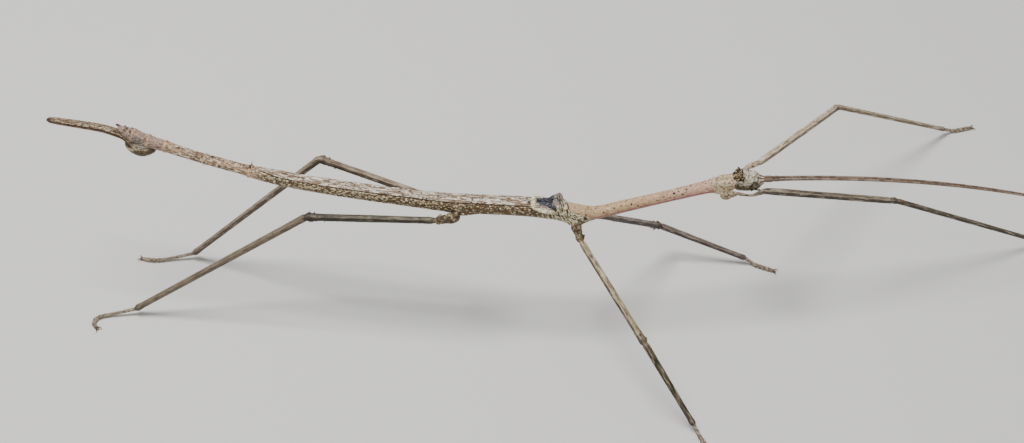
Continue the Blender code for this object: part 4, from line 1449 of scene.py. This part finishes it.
def mouth_shells():
    """Upper lip, two jaws and two pairs of jointed palps under the head's front."""
    ahead, left, up = head_frame()
    lip = (ahead * 0.75, left * 0.95, up * 0.42)
    jaw = (ahead * 0.9, left * 0.5, up * 0.55)
    shells = [
        ball_shell(head_point(8.4, 0, -2.15), lip, 22, 32),
        ball_shell(head_point(7.7, 0.42, -2.95), jaw, 22, 28),
        ball_shell(head_point(7.7, -0.42, -2.95), jaw, 22, 28),
    ]
    for sign in (1, -1):
        for along, out, reach in ((7.2, 0.95, 1.0), (6.8, 0.5, 0.8)):
            corners = [
                head_point(along, sign * out, -2.7),
                head_point(along + 0.5 * reach, sign * (out + 0.12), -3.35),
                head_point(along + 1.2 * reach, sign * (out + 0.05), -3.5),
                head_point(along + 1.7 * reach, sign * (out - 0.1), -3.3),
            ]
            path, length, joints = rounded_path(corners, (0, 0.3, 0.3, 0), 0.06)
            swell = sum(bell(length, joint, 0.16) for joint in joints[1:-1])
            tip = np.sqrt(np.clip((length[-1] - length) / 0.2, 0.04, 1))
            shells.append(tube_shell(path, (0.2 + 0.05 * swell) * tip, 14))
    for _, marks in shells:
        marks.update({"under": 0.6, "horn": 0.0, "snout": 0.0, "stripe": 0.0, "dark": 0.25})
    return shells


def antenna_shell(side):
    """Feeler: a thick first segment, a short second one, then many thin ones. Its yaw
    and droop grow evenly, and it turns a little towards the other. Each thin segment
    swells by an eighth at its far end."""
    sign = SIGN[side]
    length = np.linspace(-1.0, ANTENNA_LENGTH, 760)
    t = np.clip(length / ANTENNA_LENGTH, 0, 1)
    yaw = np.radians(np.interp(t, (0, 1), ANTENNA_YAW) - sign * ANTENNA_CLOSING)
    pitch = np.radians(np.interp(t, (0, 1), ANTENNA_PITCH))
    flat = np.cos(pitch)
    ways = stacked(flat * np.cos(yaw), flat * np.sin(yaw), np.sin(pitch))
    path = np.cumsum(ways * (length[1] - length[0]), axis=0)
    along, aside, up_by = ANTENNA_ROOT
    start = head_point(along, sign * aside, up_by)
    path = path - path[np.argmin(np.abs(length))] + start
    thick = smooth_table(ANTENNA_RADII, length)[:, 0]
    place = (length / SEGMENT) % 1
    segmented = fade(length, 4.8, 6)
    swell = bell(place, 0.93, 0.07) * segmented
    notch = (bell(place, 0.0, 0.035) + bell(place, 1.0, 0.035)) * segmented
    own = hashed(stacked(np.floor(length / SEGMENT), sign, 0.0), 7)
    pale = 0.75 * swell + 0.55 * (own > 0.62) * fade(length, 6, 9)
    dark = 0.8 * notch + 0.6 * (own < 0.16) * fade(length, 12, 20) + 0.5 * bell(length, 3.0, 0.3)
    marks = {"pale": np.clip(pale, 0, 1)[:, None], "dark": np.clip(dark, 0, 1)[:, None]}
    return tube_shell(path, thick * (1 + 0.12 * swell - 0.14 * notch), 18, marks)


# ---------------------------------------------------------------------------- the legs


def level_left(ahead):
    """The level way to the left of a way ahead, as long as the level part of that."""
    return np.array((-ahead[1], ahead[0], 0.0))


def leg_joints(name):
    """Root, way out of the body, hip, knee and ankle of a leg. The tibia's pitch brings
    the ankle down to ANKLE_HEIGHT."""
    root, hip, yaw, pitch, tibia_yaw = LEGS[name][:5]
    pair, side = name.split("_")
    middle, wide, high, left, up = trunk_frame(root)
    angle = math.radians(ROOT_ANGLE)
    across, rise = oval(angle, wide, high)
    left = left * SIGN[side]
    out = left * math.cos(angle) + up * math.sin(angle)
    start = middle + left * across + up * rise + out * ROOT_GAP
    femur, tibia = LENGTHS[pair]
    hip = np.array(hip)
    knee = hip + heading(yaw, pitch) * femur
    drop = math.degrees(math.asin((knee[2] - ANKLE_HEIGHT) / tibia))
    ankle = knee + heading(tibia_yaw, -drop) * tibia
    return start, out, hip, knee, ankle


def leg_corners(name):
    """Corners of a leg's axis from inside the body to the foot's tip, and the bend
    length at each."""
    pair, side = name.split("_")
    root, out, hip, knee, ankle = leg_joints(name)
    corners = [root - out * 1.6, root + out * RADII[pair][0] * ROOT_STALK, hip]
    bends = [0, 1.2, 1.0]
    if pair == "fore":
        ahead = unit((knee - hip) * (1, 1, 0))
        side_way = level_left(ahead) * SIGN[side]
        for along, aside, up_by in FORE_NECK:
            corners.append(hip + ahead * along + side_way * aside + UP * up_by)
            bends.append(1.3)
    yaw, curl = LEGS[name][5:]
    length = FOOT_LENGTH[pair]
    down = ankle[2] - SOLE_HEIGHT
    first = FIRST_JOINT[pair] * length
    flat = heading(yaw, 0.0) * math.sqrt(first**2 - down**2)
    corners += [knee, ankle, ankle + flat * 0.5 - UP * down * 0.55, ankle + flat - UP * down]
    bends += [0.9, 0.7, 1.0, 0.8]
    for part in (0.25, 0.5, 0.75, 1.0):
        way = heading(yaw + curl * part**1.5, 0.0)
        corners.append(corners[-1] + way * (length - first) / 4)
        bends.append(0.5)
    return corners, bends


def leg_places(pair, found):
    """Lengths along a leg of its start, elbow, hip, knee and ankle, and those of the
    foot's joints and tip, from those of the corners of its axis."""
    knee_index = 3 + (len(FORE_NECK) if pair == "fore" else 0)
    return *found[:3], *found[knee_index : knee_index + 2], found[knee_index + 3 :]


def leg_girth(pair, places):
    """Table of radius by length along a leg, from the body to the foot's tip. A fore
    thigh starts thin, with room for the head."""
    hip_radius, femur, tibia = RADII[pair]
    begin, elbow, hip, knee, ankle, foot = places
    thin, swell = (0.5, 0.92) if pair == "fore" else (0.8, 1.12)
    thigh = ((1.6, 0.98), (4.5, 0.93))
    if pair == "fore":
        thigh = ((1.3, 0.52), (2.6, 0.4), (5.6, 0.45), (9.4, 0.85), (12.5, 1.0))
    return [
        (begin, hip_radius * 0.85),
        (elbow, hip_radius),
        (elbow + 0.45 * (hip - elbow), hip_radius * 0.96),
        (hip - 0.9, femur * thin * 1.35),
        (hip - 0.15, femur * thin * 1.18),
        (hip + 0.25, femur * thin * 0.98),
        *((hip + along, femur * share) for along, share in thigh),
        (0.5 * (hip + knee), femur),
        (knee - 5.0, femur * (0.4 + 0.6 * min(1.0, swell / 0.98))),
        (knee - 2.2, femur * swell * 0.98),
        (knee - 0.5, femur * swell),
        (knee + 0.15, tibia * 0.98),
        (knee + 0.9, tibia * 1.1),
        (knee + 3.0, tibia * 1.04),
        (0.5 * (knee + ankle), tibia * 0.95),
        (ankle - 3.0, tibia * 0.88),
        (ankle - 0.8, tibia * 1.0),
        (ankle, tibia * 0.72),
        (ankle + 0.7, FOOT_RADIUS * 0.88),
        (foot[0] - 1.2, FOOT_RADIUS * 0.86),
        (foot[0], FOOT_RADIUS * 0.98),
        (foot[-1] - 0.35, FOOT_RADIUS * 0.92),
        (foot[-1], FOOT_RADIUS * 0.45),
    ]


def leg_thorns(places, seed):
    """Scattered thorns under the thigh, two dark thorns over the knee, and blunt lobes
    at the knee, the hip and the elbow."""
    _, elbow, hip, knee, _, _ = places
    scattered = scattered_knobs(
        14, 200 + seed, ((knee - 7, knee - 0.6), (-150, -30)), ((0.15, 0.4), 0.45, 16)
    )
    scattered += scattered_knobs(
        10, 220 + seed, ((hip + 4, knee - 6), (-140, -40)), ((0.1, 0.25), 0.5, 14)
    )
    dark = [(knee - 2.8, 105, 0.7, 0.6, 26), (knee - 3.8, 60, 0.3, 0.5, 20)]
    lobes = [
        (knee - 1.1, 40, 0.35, 0.8, 26),
        (knee - 1.1, 140, 0.35, 0.8, 26),
        (knee - 2.0, -90, 0.5, 0.9, 26),
        (hip - 1.3, 30, 0.45, 0.8, 26),
        (hip - 1.6, 150, 0.4, 0.8, 26),
        (elbow + 0.6, 60, 0.4, 0.9, 30),
    ]
    return scattered, dark, lobes


def widened(points, path, s, name, hip):
    """Points of a fore leg, with the thin start of its thigh made NECK_BREADTH times as
    wide along the slant halfway between outwards and up."""
    hip_point, knee_point = leg_joints(name)[2:4]
    out = unit(level_left(knee_point - hip_point)) * SIGN[name.split("_")[1]]
    way = unit(out + UP)
    wider = (NECK_BREADTH - 1) * within(s, hip + 1.2, hip + 7.6, 1.4)
    off = (points - path[:, None]) @ way
    return points + (off * wider)[..., None] * way


def leg_shell(name):
    """Leg skin from inside the body to the foot's tip: a round section with five ridges
    whose radius follows the girth table, notched at each joint, with warts on the hip,
    lobes and thorns near the knee, and soles pressed flat on the floor."""
    pair = name.split("_")[0]
    fore = pair == "fore"
    seed = sorted(LEGS).index(name)
    path, s, found = rounded_path(*leg_corners(name), 0.24)
    places = leg_places(pair, found)
    begin, elbow, hip, knee, ankle, foot = places
    radius = smooth_table(leg_girth(pair, places), s)
    s = s[:, None]
    theta = turns(40)
    tilt = elevation(theta)
    on_shaft = within(s, hip + 2, ankle - 0.8, 1.5)
    if fore:
        on_shaft = on_shaft * fade(s, hip + 6, hip + 13)
    ridge = sum(bell(turn_between(theta, at), 0, 12) for at in LEG_RIDGES)
    ridge = ridge + 0.45 * sum(bell(turn_between(theta, at), 0, 9) for at in LEG_LINES)
    straight = stacked(s, radius * np.cos(theta), radius * np.sin(theta))
    lumps = rough_noise(straight / (2.2, 0.9, 0.9), 3, 80 + seed)
    grit = rough_noise(straight / 0.45, 2, 90 + seed)
    on_hip = 1 - fade(s, hip - 0.3, hip + 0.5)
    edge, own = cells(straight / (0.8, 0.6, 0.6), 100 + seed)
    knob = fade(edge, 0.03, 0.35)
    gap = hip - elbow
    knots = bell(s, elbow + 0.1 * gap, 0.22 * gap) + bell(s, hip - 0.9, 0.8)
    waists = 0.6 * bell(s, elbow + 0.5 * gap, 0.16 * gap) + 0.4 * bell(s, begin + 1.4, 0.9)
    notch = bell(s, hip, 0.16) + bell(s, knee + 0.1, 0.14) + bell(s, ankle, 0.14)
    thorns, dark_thorns, lobes = leg_thorns(places, seed)
    pads = sum(bell(s, at - 0.3, 0.4) - 1.2 * bell(s, at + 0.06, 0.13) for at in foot[:-1])
    height = (
        on_shaft * radius * (0.15 * ridge - 0.06)
        + 0.045 * lumps
        + 0.015 * grit
        + on_hip * (0.26 * knob - 0.12 + 0.14 * lumps)
        + on_hip * radius * (0.14 * knots - 0.2 * waists)
        - 0.14 * notch
        + knobs(s, theta, thorns + dark_thorns + lobes) * (0.45 if fore else 1.0)
        + 0.12 * pads
    )
    across, rise = (radius + height) * np.cos(theta), (radius + height) * np.sin(theta)
    points = swept(path, across, rise)
    if fore:
        points = widened(points, path, s, name, hip)
    points[..., 2] = np.maximum(points[..., 2], 0.0)

    rings = bell(s, hip + 0.4, 0.35) + bell(s, knee + 1.2, 0.3)
    bands = bell(s, knee - 1.0, 1.3) + 0.9 * bell(s, ankle - 0.7, 0.7)
    bands = bands + 0.5 * bell(s, knee - 6, 1.0) + 0.6 * sum(bell(s, at, 0.22) for at in foot)
    # Painted highlight: the ridges are paler the more they face up.
    painted_top_light = (0.3 + 0.7 * fade(tilt, 0, 40)) * (0.75 + 0.4 * lumps)
    marks = {
        "grain": stacked(s, across, rise),
        "pale": on_shaft * np.clip(ridge, 0, 1) * painted_top_light,
        # Painted shade: the lower part of the leg's round is darker.
        "under": on_shaft * (1 - fade(tilt + 14 * lumps, 12, 58)),
        "shin": within(s, knee + 0.6, ankle - 0.4, 0.4) * (0.8 + 0.5 * lumps),
        "hip": on_hip,
        "knob": knob * fade(own, 0.2, 0.6),
        "foot": fade(s, ankle - 0.1, ankle + 0.4),
        "ring": rings * fade(lumps, -0.5, 0.1),
        "dark": np.clip(bands * (0.55 + 0.8 * lumps) + 2 * knobs(s, theta, dark_thorns), 0, 0.9),
    }
    return points, marks


def claw_shells(name):
    """Two curved claws and the soft pad between them at the foot's tip."""
    before, tip = leg_corners(name)[0][-2:]
    ahead = unit(tip - before)
    out = level_left(ahead)
    t = np.linspace(0, 1, 26)[:, None]
    radii = 0.25 * (1 - t[:, 0]) ** 0.75 + 0.02
    forward = -0.1 + 1.55 * t
    upward = -0.06 + 0.42 * np.sin(t * 2.6) - 0.42 * t**2
    shells = []
    for sign in (1, -1):
        sideways = sign * (0.12 + 0.95 * np.sin(t * 1.35))
        path = tip + ahead * forward + out * sideways + UP * upward
        shells.append(tube_shell(path, radii, 14, {"dark": fade(t, 0.1, 0.5)}))
    pad = (ahead * 0.5, out * 0.42, UP * 0.3)
    shells.append(ball_shell(tip + ahead * 0.35 - UP * 0.22, pad, 16, 20, {"dark": 0.15}))
    for points, _ in shells:
        points[..., 2] = np.maximum(points[..., 2], 0.0)
    return shells


def cercus_shell(side):
    """Short leaf-like tail, thickest in its middle, with blunt warts."""
    sign = SIGN[side]
    middle, _, _, left, up = trunk_frame(TRUNK[1][0])
    back = unit((-1.0, 0.2, 0.35))
    root = middle + left * sign * 1.35 - up * 0.35
    t = np.linspace(-0.25, 1, 44)
    line = root + (back * 1.9 + left * sign * 0.3) * t[:, None]
    radii = smooth_table(CERCUS_RADII, t)[:, 0]
    marks = {"ball": 1.0, "pale": 0.0, "rim": 0.0, "crack_and_painted_shadow": 0.0, "dark": fade(t, 0.7, 1.0)[:, None]}
    points, full = tube_shell(line, radii, 20, marks)
    bumps = 0.05 * rough_noise(full["grain"] / 0.4, 2, 120)
    axis = line[:, None]
    return axis + (points - axis) * (1 + bumps[..., None] / 0.4), full


# ------------------------------------------------------------------ putting it together


def add_insect():
    """Every piece with its skin and the nodes it stands for."""
    trunk_nodes = ["prothorax", "mesothorax", "metathorax"]
    trunk_nodes += [f"abdomen_{i:02d}" for i in range(1, 11)]
    beak, head_skin = beak_look(), head_look()
    add_piece("trunk", [trunk_shell()], trunk_look(), trunk_nodes)
    add_piece("beak", [beak_shell()], beak, ["ovipositor_beak"])
    add_piece("head_skin", [head_shell()], head_skin, ["head"])
    add_piece("mouth", mouth_shells(), head_skin, ["mouthparts"])
    paired = (
        ("eyeball", eye_shell, eye_look(), "eye", "eye"),
        ("forewing", tegmen_shell, tegmen_look(), "tegmen", "tegmen"),
        ("rearwing", hindwing_shell, hindwing_look(), "hindwing", "hindwing"),
        ("feeler", antenna_shell, antenna_look(), "antenna", "antenna"),
        ("tail_leaf", cercus_shell, beak, "tail", "cercus"),
    )
    for side in SIGN:
        for name, shell, look, slot, node in paired:
            add_piece(f"{name}_{side}", [shell(side)], look, [f"{node}_{side}"])
    claw = claw_look()
    for name in LEGS:
        skin = leg_look(f"leg_skin_{name}", *LEG_TONES[name])
        parts = [f"{part}_{name}" for part in ("coxa", "femur", "tibia", "tarsus")]
        add_piece(f"leg_{name}", [leg_shell(name)], skin, parts)
        add_piece(f"hooks_{name}", claw_shells(name), claw, [f"claws_{name}"])


def add_area(name, place, size, power, colour):
    """Soft square light at a place, turned to the middle of the body."""
    light = bpy.data.lights.new(name, "AREA")
    light.size = size
    light.energy = power
    light.color = colour
    made = link_new(name, light)
    made.location = place
    x, y, z = np.array(place) - LIGHTS_AIM
    made.rotation_euler = (math.atan2(math.hypot(x, y), z), 0.0, math.atan2(x, -y))


def add_stage():
    """Plain pale floor, soft light from above and a camera that looks 45 degrees down."""
    mesh = bpy.data.meshes.new("floor")
    square = [(FLOOR_HALF * x, FLOOR_HALF * y, 0) for x, y in ((-1, -1), (1, -1), (1, 1), (-1, 1))]
    mesh.from_pydata(square, [], [(0, 1, 2, 3)])
    made, tree = new_look("pale_floor")
    surface = shader_inputs(tree)
    surface["Base Color"].default_value = (0.8, 0.8, 0.78, 1.0)
    surface["Roughness"].default_value = 0.8
    mesh.materials.append(made)
    link_new("floor", mesh)
    world = bpy.data.worlds.new("studio")
    world.use_nodes = True
    sky = world.node_tree.nodes["Background"].inputs
    sky["Color"].default_value = (0.97, 0.98, 0.96, 1.0)
    sky["Strength"].default_value = 0.3
    bpy.context.scene.world = world
    add_area("key", (-0.3, 0.05, 0.95), 0.35, 9.5, (1.0, 0.985, 0.96))
    add_area("fill", (0.6, -0.5, 0.7), 0.8, 2.2, (1.0, 0.99, 0.96))
    lens = bpy.data.cameras.new("camera")
    lens.lens = 85.0
    lens.sensor_width = 36.0
    lens.clip_start = 0.01
    lens.clip_end = 50.0
    camera = link_new("camera", lens)
    away = heading(-90.0, CAMERA_PITCH) * CAMERA_AWAY
    camera.location = (CAMERA_AIM + away - SHIFT) * MM
    camera.rotation_euler = (math.radians(90.0 - CAMERA_PITCH), 0.0, 0.0)
    bpy.context.scene.camera = camera


for thing in list(bpy.data.objects):
    bpy.data.objects.remove(thing)
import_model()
MOTTLE, SPECKS, RELIEF = make_mottle(), make_specks(), make_relief()
add_insect()
add_stage()
